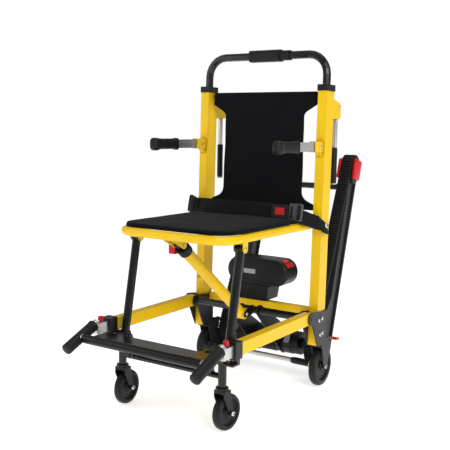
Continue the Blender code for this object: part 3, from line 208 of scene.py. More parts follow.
def woven_material(name, colour, pitch, roughness, depth, sheen, rib=1.0):
    """Cloth: two crossed sets of threads in the surface, read from the piece's own flat coordinates in
    metres."""
    made = bpy.data.materials.new(name)
    made.use_nodes = True
    tree = made.node_tree
    shader = tree.nodes["Principled BSDF"]
    where = mapping(tree, "UV", (1, 1, 1))
    threads = [add(tree, "TexWave", {"bands_direction": axis},
                   {"Scale": scale, "Distortion": 0.6, "Detail": 1.0,
                                                                  "Detail Scale": 3.0},
                                                            {"Vector": where})
               for axis, scale in (("X", 0.31 / pitch), ("Y", 0.31 / pitch * rib))]
    weave = add(tree, "Math", {"operation": "MULTIPLY"},
                links={0: threads[0].outputs[1], 1: threads[1].outputs[1]})
    broad = add(tree, "TexNoise", values={"Scale": 14.0, "Detail": 5.0}, links={"Vector": where})
    lint = add(tree, "TexNoise", values={"Scale": 700.0, "Detail": 2.0}, links={"Vector": where})
    total = add(tree, "Math", {"operation": "ADD"}, links={0: broad.outputs[0], 1: lint.outputs[0]})
    tone = add(tree, "MapRange", values={"From Min": 0.6, "From Max": 1.4, "To Min": 0.7,
                                         "To Max": 1.35},
               links={"Value": total.outputs[0]})
    base = add(tree, "Mix", {"data_type": "RGBA", "blend_type": "MULTIPLY"},
               {"Factor": 1.0, 6: linear(colour)},
               {7: tone.outputs[0]})
    bump = add(tree, "Bump", values={"Strength": 0.7, "Distance": depth},
               links={"Height": weave.outputs[0]})
    shader.inputs["Roughness"].default_value = roughness
    shader.inputs["Sheen Weight"].default_value = sheen
    shader.inputs["Sheen Roughness"].default_value = 0.4
    shader.inputs["Specular IOR Level"].default_value = 0.12
    tree.links.new(base.outputs[2], shader.inputs["Base Color"])
    tree.links.new(bump.outputs[0], shader.inputs["Normal"])
    return made


# Thick yellow powder coat with a faint orange peel
YELLOW = finish_material("Yellow powder coat", "F2C500", 0.38, coat=0.06, spread=0.05, grain=420,
                         grain_depth=0.02,
                         edge=0.0012, painted_shade=0.45, worn="7A6420")
# Gloss black stove enamel on round tube
BLACK = finish_material("Black enamelled tube", "0B0B0C", 0.24, coat=0.22, spread=0.15, grain=600,
                        grain_depth=0.012,
                        edge=0.0008, worn="4A4A4C")
# Bare extruded aluminium, its drawing lines running along the bar
ALLOY = finish_material("Bare aluminium", "C9C9CC", 0.34, metallic=0.9, spread=0.06, grain=300,
                        grain_depth=0.02,
                        stretch=(8, 0.4, 8), painted_shade=0.3)
# The same bars, with the cross tube between them enamelled black
CROSS = finish_material("Aluminium bars on a black cross tube", "C9C9CC", 0.3, metallic=0.9,
                        spread=0.06, grain=300,
                        grain_depth=0.01, painted_shade=0.3, other=("0B0B0C", "X", CROSS_TUBE_HALF))
# The yellow rails, whose front sockets are black mouldings
RAIL = finish_material("Yellow rail with a black socket", "F2C500", 0.38, coat=0.06, spread=0.05,
                       grain=420,
                       grain_depth=0.02, edge=0.0012, painted_shade=0.45, worn="7A6420",
                       other=("101012", "Y", SOCKET_REAR))
# Bright plated rod and nuts
CHROME = finish_material("Plated steel", "D2D2D4", 0.2, metallic=1.0, spread=0.05, grain=800,
                         grain_depth=0.008, painted_shade=0.3)
# Dark grey coated plate
PLATE = finish_material("Dark grey coated plate", "26262A", 0.40, spread=0.12, grain=700,
                        grain_depth=0.03, painted_shade=0.4,
                        worn="77777A")
# Moulded black nylon with a pebbled skin
NYLON = finish_material("Moulded black nylon", "101012", 0.44, spread=0.12, grain=1100,
                        grain_depth=0.05, edge=0.0010)
# The smooth painted case of the battery
CASE = finish_material("Battery case", "121214", 0.36, coat=0.08, spread=0.1, grain=900,
                       grain_depth=0.03, edge=0.0010)
# Clear red moulding
RED = finish_material("Red moulding", "D0161F", 0.34, coat=0.08, spread=0.08, grain=700,
                      grain_depth=0.01, painted_shade=0.3)
# Soft rubber, rubbed grey where it is handled
RUBBER = finish_material("Soft rubber", "121215", 0.50, spread=0.22, grain=1300, grain_depth=0.06,
                         edge=0.0008,
                         worn="3C3C40")
# Belt rubber, dusty on its lugs, with painted shade darkening its hollows
BELT = finish_material("Track rubber", "131315", 0.60, spread=0.3, grain=900, grain_depth=0.08,
                       edge=0.0006,
                       worn="4C4C50", painted_shade=0.5)
# Wheel rubber
TYRE = finish_material("Wheel rubber", "151517", 0.48, spread=0.25, grain=900, grain_depth=0.05,
                       worn="48484A")
# The grey clear-coated latch
LATCH = finish_material("Grey latch casting", "4A4B50", 0.34, coat=0.1, spread=0.12, grain=900,
                        grain_depth=0.03)
# Blank silver label
LABEL = finish_material("Blank silver label", "A9A9AC", 0.4, metallic=0.3, spread=0.06, grain=700,
                        grain_depth=0.01)
# Woven nylon of seat and back
FABRIC = woven_material("Woven nylon cloth", "0C0D11", 0.0016, 0.86, 0.0003, 0.04)
# Seat belt webbing, its ribs running along the strap
WEBBING = woven_material("Seat belt webbing", "151518", 0.0022, 0.66, 0.0004, 0.05, rib=0.35)

CARRIED = (
    (YELLOW,
     "post_ armrest_bracket_ rear_handle_bracket_ back_top_bar seat_frame brace_tube battery_bar"),
    (RAIL, "rail_"),
    (CROSS, "carry_frame"),
    (BLACK, "push_handle front_leg_ brace_rod footrest caster_frame pivot_tube"),
    (ALLOY, "armrest_bar_"),
    (CHROME, "rear_handle_l rear_handle_r rear_axle drive_shaft"),
    (PLATE, "side_plate_"),
    (PLATE, "track_frame"),
    (NYLON, "collar_ control_sleeve seat_pan caster_fork_ buckle_body battery_base gear_motor"),
    (CASE, "battery_pack"),
    (RED, "release_button lock_button_ brake_pedal_ buckle_button"),
    (RUBBER, "armrest_grip_ carry_grip_"),
    (BELT, "track_belt_"),
    (TYRE, "caster_wheel_ rear_wheel_"),
    (FABRIC, "backrest_panel seat_cushion lap_strap_"),
)


def paint_carried():
    """Gives each carried node the first finish in the table whose prefix its name starts with."""
    for name, obj in nodes.items():
        for finish, prefixes in CARRIED:
            if name.startswith(tuple(prefixes.split())):
                obj.data.materials.clear()
                obj.data.materials.append(finish)
                break


# ---------------------------------------------------------------- surfaces

def surface(name, points, material, body, wrap=False, flat=None, replaces=(), end_caps=False,
            ride=True):
    """One piece from a grid of points: rows along it, columns round it.

    Each vertex is points[row, column]; faces join neighbours, round the column if wrap, and the piece's
    flat coordinates are the lengths along both directions, in metres, unless flat gives them."""
    points = np.asarray(points, float)
    rows, columns = points.shape[:2]
    if end_caps:
        points = np.concatenate([points[:1].mean(1, keepdims=True).repeat(columns, 1), points,
                                 points[-1:].mean(1, keepdims=True).repeat(columns, 1)])
        rows += 2
    if flat is None:
        along = np.concatenate([[0], np.cumsum(np.linalg.norm(np.diff(points, axis=0),
                                                            axis=2).mean(1))])
        across = np.concatenate([[0], np.cumsum(np.linalg.norm(np.diff(points, axis=1),
                                                            axis=2).mean(0))])
        flat = np.stack(np.meshgrid(across, along), -1)
    last = columns if wrap else columns - 1
    row, column = np.meshgrid(np.arange(rows - 1), np.arange(last), indexing="ij")
    after = (column + 1) % columns
    faces = np.stack([row * columns + column, row * columns + after, (row + 1) * columns + after,
                      (row + 1) * columns + column], -1).reshape(-1, 4)
    name = name.lower().replace(" ", "_")
    mesh = bpy.data.meshes.new(name)
    mesh.from_pydata(points.reshape(-1, 3).tolist(), [], faces.tolist())
    layer = mesh.uv_layers.new(name="UVMap")
    layer.data.foreach_set("uv", flat.reshape(-1, 2)[faces].reshape(-1).astype(np.float32))
    work = bmesh.new()
    work.from_mesh(mesh)
    bmesh.ops.remove_doubles(work, verts=work.verts, dist=1e-6)
    bmesh.ops.recalc_face_normals(work, faces=work.faces)
    work.to_mesh(mesh)
    work.free()
    mesh.polygons.foreach_set("use_smooth", [True] * len(mesh.polygons))
    mesh.set_sharp_from_angle(angle=math.radians(42))
    mesh.materials.append(material)
    made = bpy.data.objects.new(name, mesh)
    bpy.context.scene.collection.objects.link(made)
    if ride:
        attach(made, body)
    if replaces:
        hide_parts(*replaces)
    return made


def ring(count, power=2.0, half=(1.0, 1.0)):
    """A superellipse as count points: round at power 2, squarer above."""
    angle = np.linspace(0, 2 * math.pi, count, endpoint=False)
    c, s = np.cos(angle), np.sin(angle)
    return np.stack([half[0] * np.sign(c) * np.abs(c) ** (2 / power),
                     half[1] * np.sign(s) * np.abs(s) ** (2 / power)], 1)


def lathe(name, profile, place, axis, material, body, count=48, replaces=()):
    """A turned piece: its profile is (distance along the axis, radius), spun about the axis through
    place."""
    axis = np.asarray(axis, float) / np.linalg.norm(axis)
    first = np.cross(axis, (0, 0, 1) if abs(axis[2]) < 0.9 else (1, 0, 0))
    first /= np.linalg.norm(first)
    second = np.cross(axis, first)
    angle = np.linspace(0, 2 * math.pi, count, endpoint=False)
    spokes = np.cos(angle)[:, None] * first + np.sin(angle)[:, None] * second
    profile = np.asarray(profile, float)
    points = np.asarray(place) + profile[:, :1, None] * axis + profile[:, 1:, None] * spokes[None]
    return surface(name, points, material, body, wrap=True, replaces=replaces)


def sweep(path, section, up):
    """Points of a section carried along a path: the section's second direction leans to up."""
    path = np.asarray(path, float)
    along = np.gradient(path, axis=0)
    along /= np.linalg.norm(along, axis=1, keepdims=True)
    side = np.cross(along, up)
    side /= np.linalg.norm(side, axis=1, keepdims=True)
    top = np.cross(side, along)
    section = np.broadcast_to(section, (len(path),) + np.shape(section)[-2:])
    return path[:, None] + section[..., :1] * side[:, None] + section[..., 1:] * top[:, None]


def smooth_path(corners, count, soften=6):
    """Even points along a line of corners, each corner eased by averaging neighbours."""
    corners = np.asarray(corners, float)
    reach = np.concatenate([[0], np.cumsum(np.linalg.norm(np.diff(corners, axis=0), axis=1))])
    at = np.linspace(0, reach[-1], count)
    points = np.stack([np.interp(at, reach, corners[:, k]) for k in range(3)], 1)
    for _ in range(soften):
        points[1:-1] = (points[:-2] + points[1:-1] * 2 + points[2:]) / 4
    return points


def rounded_block(name, low, high, radius, material, body, matrix=None, replaces=()):
    """A block with all edges rounded: rows go up a superellipse edge, columns round the plan."""
    low, high = np.asarray(low, float), np.asarray(high, float)
    middle, half = (low + high) / 2, (high - low) / 2
    turn = np.linspace(-math.pi / 2, math.pi / 2, 12)
    plan = np.linspace(0, 2 * math.pi, 40, endpoint=False)
    corner = np.stack([np.sign(np.cos(plan)) * (half[0] - radius),
                       np.sign(np.sin(plan)) * (half[1] - radius)], 1)
    out = np.stack([np.cos(plan), np.sin(plan)], 1)
    rows = []
    for angle in turn:
        flat = corner + out * radius * math.cos(angle)
        height = math.copysign(half[2] - radius, angle) + radius * math.sin(angle)
        rows.append(np.column_stack([flat, np.full(len(flat), height)]))
    points = np.array(rows) + middle
    if matrix is not None:
        points = points @ np.array(matrix.to_3x3()).T + np.array(matrix.translation)
    return surface(name, points, material, body, wrap=True, end_caps=True, replaces=replaces)


def bolt_head(name, place, axis, radius, body, height=None, material=None):
    """A domed head with a hexagon socket sunk in it, standing on place along axis."""
    height = height or radius * 0.6
    profile = [(0, radius * 0.98), (height * 0.35, radius), (height * 0.75, radius * 0.86),
               (height, radius * 0.55),
               (height, radius * 0.46), (height * 0.35, radius * 0.42), (height * 0.35, 0.0)]
    return lathe(name, profile, place, axis, material or CHROME, body, 24)


# ---------------------------------------------------------------- soft goods

def cushion():
    """The thin seat pad. Each row runs across; its half width follows the rounded front corners, and
    its height is a crown that falls off to a rolled edge, with slight slack waves near the back."""
    low, high = limits("seat_cushion")
    low[2] += 0.0006
    pan_rear = high[1]
    high[1] = CUSHION_REAR
    across = np.linspace(-1, 1, 121)
    rows = np.linspace(0, 1, 141)
    length = high[1] - low[1]
    corner = 0.060
    y = low[1] + rows * length
    inset = np.clip(1 - (y - low[1]) / corner, 0, 1)
    half = (high[0] - low[0]) / 2 - corner * (1 - np.sqrt(np.clip(1 - inset ** 2, 0, 1)))
    x = half[:, None] * across[None]
    yy = np.broadcast_to(y[:, None], x.shape)
    edge_x = half[:, None] - np.abs(x)
    edge_y = np.minimum(yy - low[1], high[1] - yy)
    edge = np.minimum(edge_x, edge_y)
    roll = np.sqrt(np.clip(1 - (1 - np.clip(edge / 0.006, 0, 1)) ** 2, 0, 1))
    crown = 0.0035 * np.clip(edge / 0.06, 0, 1) ** 0.5
    waves = 0.0009 * np.sin(x * 31 + yy * 17) * np.sin(yy * 43 - x * 9) * np.clip(edge / 0.03, 0, 1)
    stitch = -0.0012 * np.exp(-((edge - 0.011) / 0.0013) ** 2)
    thick = high[2] - low[2]
    top = low[2] + (thick - 0.002) * (0.15 + 0.85 * roll) + crown + waves + stitch
    tuck = np.clip((yy - pan_rear) / 0.02, 0, 1)
    top = top - tuck * (top - low[2]) * 0.45
    upper = np.stack([x, yy, top], -1)
    lower = np.stack([x * 0.999, yy, np.full(x.shape, low[2])], -1)
    points = np.concatenate([upper, lower[:, ::-1]], 1)
    flat = np.stack([np.concatenate([x, x[:, ::-1] + 1], 1), np.concatenate([yy, yy], 1)], -1)
    made = surface("Seat cushion", points, FABRIC, "seat", wrap=True, flat=flat,
                   replaces=["seat_cushion"])
    return made


def back_outline():
    """Height samples of the back panel with the half width there, read from the CAD panel's own
    corners."""
    corners = np.array([v.co for v in nodes["backrest_panel"].data.vertices], float)
    right = corners[corners[:, 0] > 0.02]
    heights = np.linspace(right[:, 2].min(), right[:, 2].max(), 181)
    order = np.unique(np.round(right[:, 2], 5))
    widths = np.array([right[np.abs(right[:, 2] - z) < 2e-5][:, 0].max() for z in order])
    return corners, heights, np.interp(heights, order, widths)


def back_panel():
    """The stretched back cloth: each row runs across at one height; it bows back a little between the
    posts, its free edges roll into thick hems, and a stitched line runs beside each hem."""
    corners, z, half = back_outline()
    front_at = [corners[np.abs(corners[:, 2] - k) < 0.05][:, 1].min() for k in (z[0] + 0.02,
                                                            z[-1] - 0.02)]
    lean = np.interp(z, (z[0], z[-1]), front_at)
    across = np.linspace(-1, 1, 141)
    x = half[:, None] * across[None]
    zz = np.broadcast_to(z[:, None], x.shape)
    edge = np.minimum(half[:, None] - np.abs(x), np.minimum(z[-1] - zz, zz - z[0]))
    hem = np.exp(-((edge - 0.006) / 0.006) ** 2)
    stitch = np.exp(-((edge - 0.015) / 0.0012) ** 2)
    bow = 0.0045 * np.cos(x / half.max() * 1.4) * np.sin((zz - z[0]) / (z[-1] - z[0]) * math.pi)
    folds = 0.0010 * np.sin(zz * 46 + x * 12) * np.exp(-edge / 0.05) + 0.0006 * np.sin(x * 40 + zz * 9)
    thick = 0.0035 + 0.0028 * hem
    thick = thick * np.sqrt(np.clip(1 - (1 - np.clip(edge / 0.004, 0, 1)) ** 2, 0, 1)) + 0.0002
    middle = lean[:, None] + 0.0055 + bow + folds
    front = np.stack([x, middle - thick + 0.0008 * stitch, zz], -1)
    back = np.stack([x, middle + thick - 0.0008 * stitch, zz], -1)
    points = np.concatenate([front, back[:, ::-1]], 1)
    flat = np.stack([np.concatenate([x, x[:, ::-1] + 1], 1), np.concatenate([zz, zz], 1)], -1)
    made = surface("Back panel cloth", points, FABRIC, "chassis", wrap=True, flat=flat,
                   replaces=["backrest_panel"])
    return made


# The plane that the belt crosses the lap in, tipped down towards the front
STRAP_AT = Matrix.Translation((0, DY - 0.085, 0.5565)) @ Matrix.Rotation(math.radians(-8), 4, "X")


def strap(name, path, width, thick, up, wave=0.0):
    """Flat webbing: a thin rounded section carried along a path, with a slow sideways ripple."""
    half = width / 2
    turn = np.linspace(0, 2 * math.pi, 28, endpoint=False)
    section = np.stack([np.cos(turn) * thick / 2, np.clip(np.sin(turn) * half * 1.25, -half, half)], 1)
    path = np.array(path)
    reach = np.linspace(0, 1, len(path))
    path[:, 1] += wave * np.sin(reach * 9)
    return surface(name, sweep(path, section, up), WEBBING, "chassis", wrap=True,
                   end_caps=True, ride=False)


def place(points, matrix):
    """Local points moved by a matrix, as an array."""
    return np.array([matrix @ Vector(p) for p in points])


def belt():
    """The lap belt: the long strap with its adjuster, the latch, the short strap and the two anchor
    bolts."""
    up = np.array(STRAP_AT.to_3x3() @ Vector((0, 0, 1)))
    outer = HALF_SPAN + 0.0185
    corners = [(-outer, 0.098, 0), (-outer, 0.050, 0), (-HALF_SPAN + 0.010, 0.029, 0),
               (-0.165, 0.0125, 0),
               (0.096, 0, 0)]
    long_strap = strap("Long belt strap", smooth_path(place(corners, STRAP_AT), 150, 14), 0.047, 0.0026,
                       up, 0.0008)
    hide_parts("lap_strap_left")
    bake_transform(long_strap)
    turned = Matrix.Rotation(math.radians(-34), 4, "Z") @ Matrix.Rotation(math.radians(10), 4, "Y")
    adjust = STRAP_AT @ Matrix.Translation((-HALF_SPAN - 0.008, 0.0300, 0.001)) @ turned
    rounded_block("Belt adjuster", (-0.021, -0.0100, -0.0285), (0.021, 0.0010, 0.0285), 0.0035, NYLON,
                  "chassis",
                  adjust)
    for step in (-1, 1):
        rounded_block(f"Adjuster bar {step}", (step * 0.011 - 0.003, -0.0130, -0.024),
                      (step * 0.011 + 0.003, -0.0080, 0.024), 0.0014, NYLON, "chassis",
                      adjust)
    start = 0.156
    rounded_block("Latch plate", (start, -0.0095, -0.0265), (start + 0.042, 0.0060, 0.0265), 0.0040,
                  LATCH, "seat",
                  STRAP_AT)
    rounded_block("Latch bar", (start + 0.030, -0.0130, -0.0225), (start + 0.042, -0.0080, 0.0225),
                  0.0025, NYLON, "seat",
                  STRAP_AT)
    rounded_block("Latch slot", (start + 0.006, -0.0103, -0.0190), (start + 0.014, -0.0090, 0.0190),
                  0.0006, NYLON,
                  "seat", STRAP_AT)
    side = HALF_SPAN + 0.0195
    corners = [(0.192, DY - 0.083, 0.545), (0.208, DY - 0.068, 0.537),
               (side - 0.002, DY - 0.038, 0.524),
               (side + 0.004, DY - 0.014, 0.511), (side + 0.002, DY + 0.010, 0.505)]
    short_strap = strap("Short belt strap", smooth_path(corners, 60, 8), 0.044, 0.0030,
                        (-0.40, 0, 0.92))
    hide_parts("lap_strap_right")
    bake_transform(short_strap)
    bolt_head("Belt anchor right", (side + 0.0045, DY - 0.004, 0.5150), (1, 0, 0), 0.0085, "chassis",
              0.005)
    bolt_head("Belt anchor left", (-side - 0.0015, DY + 0.006, 0.553), (-1, 0, 0), 0.0085, "chassis",
              0.005)


# ---------------------------------------------------------------- rubber

def track_belt(name):
    """The cogged belt: its middle line is the CAD belt's outer edge; the surface rises in lugs with
    sloped flanks at a fixed pitch along it, outside and inside, across a section with rounded
    shoulders."""
    low, high = limits(f"track_belt_{name}")
    corners = np.array([v.co for v in nodes[f"track_belt_{name}"].data.vertices], float)[:, 1:]
    hull = []
    ordered = corners[np.lexsort((corners[:, 1], corners[:, 0]))]
    for sweep_order in (ordered, ordered[::-1]):
        chain = []
        for p in sweep_order:
            while len(chain) > 1 and np.cross(chain[-1] - chain[-2], p - chain[-1]) <= 1e-12:
                chain.pop()
            chain.append(p)
        hull += chain[:-1]
    hull = np.array(hull + hull[:1])
    reach = np.concatenate([[0], np.cumsum(np.linalg.norm(np.diff(hull, axis=0), axis=1))])
    pitch = 0.0092
    lugs = round(reach[-1] / pitch)
    at = np.linspace(0, reach[-1], lugs * 10, endpoint=False)
    line = np.stack([np.interp(at, reach, hull[:, k]) for k in (0, 1)], 1)
    along = np.roll(line, -2, 0) - np.roll(line, 2, 0)
    along /= np.linalg.norm(along, axis=1, keepdims=True)
    out = np.stack([along[:, 1], -along[:, 0]], 1)
    phase = (at / reach[-1] * lugs) % 1
    lug = np.clip((0.5 - np.abs(phase - 0.5)) * 8 - 1.0, 0, 1)
    half = (high[0] - low[0]) / 2
    section = [(-half, -0.0055), (-half, -0.0010), (-half + 0.0015, 0.0), (half - 0.0015, 0.0),
               (half, -0.0010),
               (half, -0.0055), (half - 0.004, -0.0062), (-half + 0.004, -0.0062)]
    rows = []
    for x, depth in section:
        rise = 0.0030 * lug if depth > -0.002 else (-0.0022 * lug if depth < -0.006 else 0 * lug)
        where = line + out * (depth + rise)[:, None]
        rows.append(np.column_stack([np.full(len(line), (low[0] + high[0]) / 2 + x), where]))
    points = np.array(rows)
    points = np.concatenate([points, points[:1]]).transpose(1, 0, 2)
    points = np.concatenate([points, points[:1]])
    surface(f"Cogged belt {name}", points, BELT, "tracks", replaces=[f"track_belt_{name}"])


def carry_grip(name, side):
    """The ribbed carry grip: a turned sleeve with shallow rings, a flange at its root and a rounded
    end."""
    start = np.array([side * HALF_SPAN, *GRIP_ROOT])
    end = np.array([side * HALF_SPAN, *GRIP_TIP])
    length = np.linalg.norm(end - start)
    s = np.linspace(0, 1, 160)
    r = 0.0158 - 0.0006 * np.cos(s * 2 * math.pi * 6) ** 8 + 0.0014 * np.exp(-(s / 0.05) ** 2)
    r *= np.sqrt(np.clip(1 - np.clip((s - 0.955) / 0.0455, 0, 1) ** 2, 0, 1))
    profile = np.concatenate([[(0, 0.011)], np.column_stack([s * length, r]), [(length, 0)]])
    lathe(f"Carry grip {name}", profile, start, end - start, RUBBER, "carry_frame", 48,
          [f"carry_grip_{name}"])


def armrest_grip(name, side):
    """The moulded armrest grip: a section squarish at its root, drawn in at a waist with three finger
    hollows below and swelling to a rounded lobe at its tip."""
    low, high = limits(f"armrest_grip_{name}")
    x, z = side * HALF_SPAN, (low[2] + high[2]) / 2
    s = np.linspace(0, 1, 140)
    y = high[1] + (low[1] - high[1]) * s
    tip = np.sqrt(np.clip(1 - np.clip((s - 0.84) / 0.16, 0, 1) ** 2, 0, 1))
    lobe = np.exp(-((s - 0.90) / 0.13) ** 2)
    rim = np.exp(-(s / 0.05) ** 2)
    waist = (s > 0.12) * (s < 0.72)
    notch = 0.0022 * waist * np.sin((s - 0.12) / 0.60 * math.pi * 4) ** 2
    up = (0.0165 + 0.0028 * lobe + 0.0020 * rim) * tip + 0.0001
    down = (0.0160 + 0.0042 * lobe + 0.0028 * rim - notch) * tip + 0.0001
    wide = (0.0122 + 0.0030 * lobe + 0.0018 * rim) * tip + 0.0001
    circle = ring(40, 4.0)
    height = np.where(circle[None, :, 1] > 0, up[:, None], down[:, None]) * circle[None, :, 1]
    ridge = 0.0006 * (np.abs(circle[None, :, 1]) < 0.85) * (waist * np.cos(s * 90) ** 2)[:, None]
    points = np.stack([x + (wide[:, None] + ridge) * circle[None, :, 0],
                       np.broadcast_to(y[:, None], height.shape),
                       z + height], -1)
    surface(f"Armrest grip {name}", points, RUBBER, f"armrest_{name}", wrap=True, end_caps=True,
            replaces=[f"armrest_grip_{name}"])


def rear_grip(name):
    """The black sleeve on the fold-out rear handle, with a rounded foot, and the bare bar above it."""
    middle = centre(f"rear_handle_{name}")
    x, y = middle[0], middle[1]
    profile = [(0, 0.0), (0.001, 0.006), (0.004, 0.0088), (0.010, 0.0096), (0.060, 0.0094),
               (0.108, 0.0096),
               (0.114, 0.0090), (0.115, 0.0056)]
    lathe(f"Rear grip {name}", profile, (x, y, 0.634), (0, 0, 1), RUBBER, f"rear_handle_{name}",
          32)
    rounded_block(f"Rear handle bar {name}", (x - 0.0068, y - 0.0058, 0.744),
                  (x + 0.0068, y + 0.0058, 0.862), 0.0030, ALLOY,
                  f"rear_handle_{name}")


def wheel(node, label):
    """A wheel: rubber tyre with a crowned tread and rounded shoulders, and a dished hub disc each side."""
    low, high = limits(node)
    middle = (low + high) / 2
    radius = (high[2] - low[2]) / 2
    axis = np.array((1.0, 0, 0))
    if node.startswith("caster"):
        axis = np.array(JOINTS[node.replace("wheel", "roll")]["axis"])
    half = 0.0125
    tread = [(-half * 0.55, radius * 0.70), (-half, radius * 0.74), (-half, radius * 0.86),
             (-half * 0.86, radius * 0.94),
             (-half * 0.55, radius * 0.985), (0, radius), (half * 0.55, radius * 0.985),
             (half * 0.86, radius * 0.94),
             (half, radius * 0.86), (half, radius * 0.74), (half * 0.55, radius * 0.70)]
    lathe(f"{label} tyre", tread, middle, axis, TYRE, node, 72, [node])
    hub = [(-half * 0.9, 0.0), (-half * 0.9, 0.012), (-half * 0.5, 0.016),
           (-half * 0.45, radius * 0.66),
           (-half * 0.75, radius * 0.725), (half * 0.75, radius * 0.725), (half * 0.45, radius * 0.66),
           (half * 0.5, 0.016), (half * 0.9, 0.012), (half * 0.9, 0.0)]
    lathe(f"{label} hub", hub, middle, axis, NYLON, node, 60)


# ---------------------------------------------------------------- hard details

def battery_case():
    """The battery: a stadium outline whose two faces are drawn in by a rounded rim, with a raised band
    round it."""
    low, high = limits("battery_pack")
    middle, half = (low + high) / 2, (high - low) / 2
    around = np.linspace(0, 2 * math.pi, 96, endpoint=False)
    flat_half = half[0] - half[2]
    base = np.stack([np.cos(around), np.sin(around)], 1)
    shift = np.clip(np.cos(around) * 6, -1, 1) * flat_half
    # (share of the half depth, how far the outline is drawn in)
    stations = [(-1, -0.014), (-0.995, -0.008), (-0.97, -0.004), (-0.93, -0.0015), (-0.87, 0),
                (-0.80, 0), (-0.79, -0.0012),
                (-0.76, -0.0012), (-0.75, 0), (0.75, 0), (0.76, -0.0012), (0.79, -0.0012), (0.80, 0),
                (0.87, 0),
                (0.93, -0.0015), (0.97, -0.004), (0.995, -0.008), (1, -0.014)]
    rows = []
    for share, inset in stations:
        r = half[2] + inset
        rows.append(np.column_stack([middle[0] + shift + base[:, 0] * r,
                                     np.full(96, middle[1] + share * half[1]),
                                     middle[2] + base[:, 1] * r]))
    surface("Battery case", np.array(rows), CASE, "battery", wrap=True, end_caps=True,
            replaces=["battery_pack"])
    front = low[1]
    rounded_block("Battery label", (-0.054, front - 0.0022, middle[2] - 0.0075),
                  (-0.010, front + 0.0006, middle[2] + 0.0075),
                  0.0006, LABEL, "battery")
    face = [(0.0004, 0.0085), (-0.0008, 0.0085), (-0.0014, 0.0095)]
    rows = []
    for depth, inset in face:
        r = half[2] - inset
        rows.append(np.column_stack([middle[0] + shift + base[:, 0] * r, np.full(96, front + depth),
                                     middle[2] + base[:, 1] * r]))
    surface("Battery face plate", np.array(rows), NYLON, "battery", wrap=True, end_caps=True)
    for index, angle in enumerate((26, 52)):
        tilt = math.radians(angle)
        spot = (middle[0] + flat_half + math.sin(tilt) * half[2], middle[1] + 0.004,
                middle[2] + math.cos(tilt) * half[2])
        turn = Matrix.Translation(spot) @ Matrix.Rotation(tilt, 4, "Y")
        rounded_block(f"Charge mark {index}", (-0.0075, -0.026, -0.0012),
                      (0.0075, 0.006 + index * 0.012, 0.0012), 0.0010,
                      RED, "battery", turn)


def motor_details():
    """Cooling rings round the motor, its end bell, a blank label and the gearbox bolts."""
    for index, x in enumerate(np.linspace(-0.030, 0.020, 5)):
        lathe(f"Motor ring {index}", [(-0.0014, 0.0375), (-0.0014, 0.0402), (0.0014, 0.0402),
                                      (0.0014, 0.0375)],
              MOTOR_AXIS + (x, 0, 0), (1, 0, 0), NYLON, "chassis", 48)
    lathe("Motor band", [(0.058, 0.0375), (0.058, 0.0395), (0.084, 0.0395), (0.084, 0.0375)],
          MOTOR_AXIS, (1, 0, 0), CASE,
          "chassis", 48)
    turn = Matrix.Translation(Vector(MOTOR_AXIS + (0.071, 0, 0))) @ Matrix.Rotation(math.radians(62), 4,
                                                            "X")
    rounded_block("Motor label", (-0.010, -0.014, 0.0393), (0.010, 0.014, 0.0404), 0.0004, LABEL,
                  "chassis", turn)
    for index in range(6):
        angle = index * math.pi / 3 + 0.3
        bolt_head(f"Gearbox bolt {index}", MOTOR_AXIS + (-0.1185, 0.037 * math.cos(angle),
                                                         0.037 * math.sin(angle)), (-1, 0, 0),
                  0.0035, "chassis")


def fasteners():
    """Plated heads on the pins that show at the armrests, rear handles, side plates, legs, rails and
    wheels."""
    for name, side in SIDES:
        body = "chassis"
        bracket_low, bracket_high = limits(f"armrest_bracket_{name}")
        for s, x in ((-1, bracket_low[0]), (1, bracket_high[0])):
            bolt_head(f"Armrest bolt {name} {s}", (x + s * -0.0018, *ARM_PIN), (s, 0, 0), 0.0052, body)
        bracket_low, bracket_high = limits(f"rear_handle_bracket_{name}")
        for s, x in ((-1, bracket_low[0]), (1, bracket_high[0])):
            bolt_head(f"Rear handle bolt {name} {s}", (x + s * -0.0016, *REAR_HANDLE_PIN), (s, 0, 0),
                      0.0046, body)
        plate_low, plate_high = limits(f"side_plate_{name}")
        face = plate_high[0] if side > 0 else plate_low[0]
        for index, (behind, height) in enumerate(PLATE_BOLTS):
            bolt_head(f"Plate bolt {name} {index}", (face - side * 0.003, DY + behind, height),
                      (side, 0, 0), 0.0066, body)
        wheel_low, wheel_high = limits(f"rear_wheel_{name}")
        x = wheel_high[0] if side > 0 else wheel_low[0]
        bolt_head(f"Rear wheel nut {name}", (x + side * 0.004, *REAR_AXLE), (side, 0, 0), 0.0080, body,
                  0.0060)
        bolt_head(f"Leg head bolt {name}", (side * LEG_X + 0.0155, *LEG_HEAD), (1, 0, 0), 0.0058,
                  "seat")
        pivot = JOINTS[f"caster_roll_{name}"]
        spin = np.array(pivot["axis"])
        bolt_head(f"Caster nut {name}", np.array(pivot["pos_m"]) + spin * 0.0205, spin, 0.0070,
                  f"caster_{name}", 0.0060)
        bolt_head(f"Leg foot nut {name}", (side * LEG_FOOT_X, *LEG_FOOT), (side, 0, 0), 0.0050,
                  "base_frame")
        rail_low, rail_high = limits(f"rail_{name}")
        x = rail_high[0] - 0.001 if side > 0 else rail_low[0] + 0.001
        bolt_head(f"Rail pivot bolt {name}", (x, *RAIL_PIN), (side, 0, 0), 0.0060, "base_frame")


def track_tops():
    """Red guards on both flanks of each track's top end, rounded towards the belt's run."""
    for name, _ in SIDES:
        low, high = limits(f"track_belt_{name}")
        z = high[2]
        lean = Matrix.Translation((0, high[1] - 0.028,
                                   z - 0.038)) @ Matrix.Rotation(-math.radians(16.2), 4, "X")
        for s, x in ((-1, low[0] - 0.0075), (1, high[0] + 0.0075)):
            rounded_block(f"Track guard {name} {s}", (x - 0.0068, -0.026, -0.044),
                          (x + 0.0068, 0.020, 0.024), 0.0050, RED,
                          "tracks", lean)


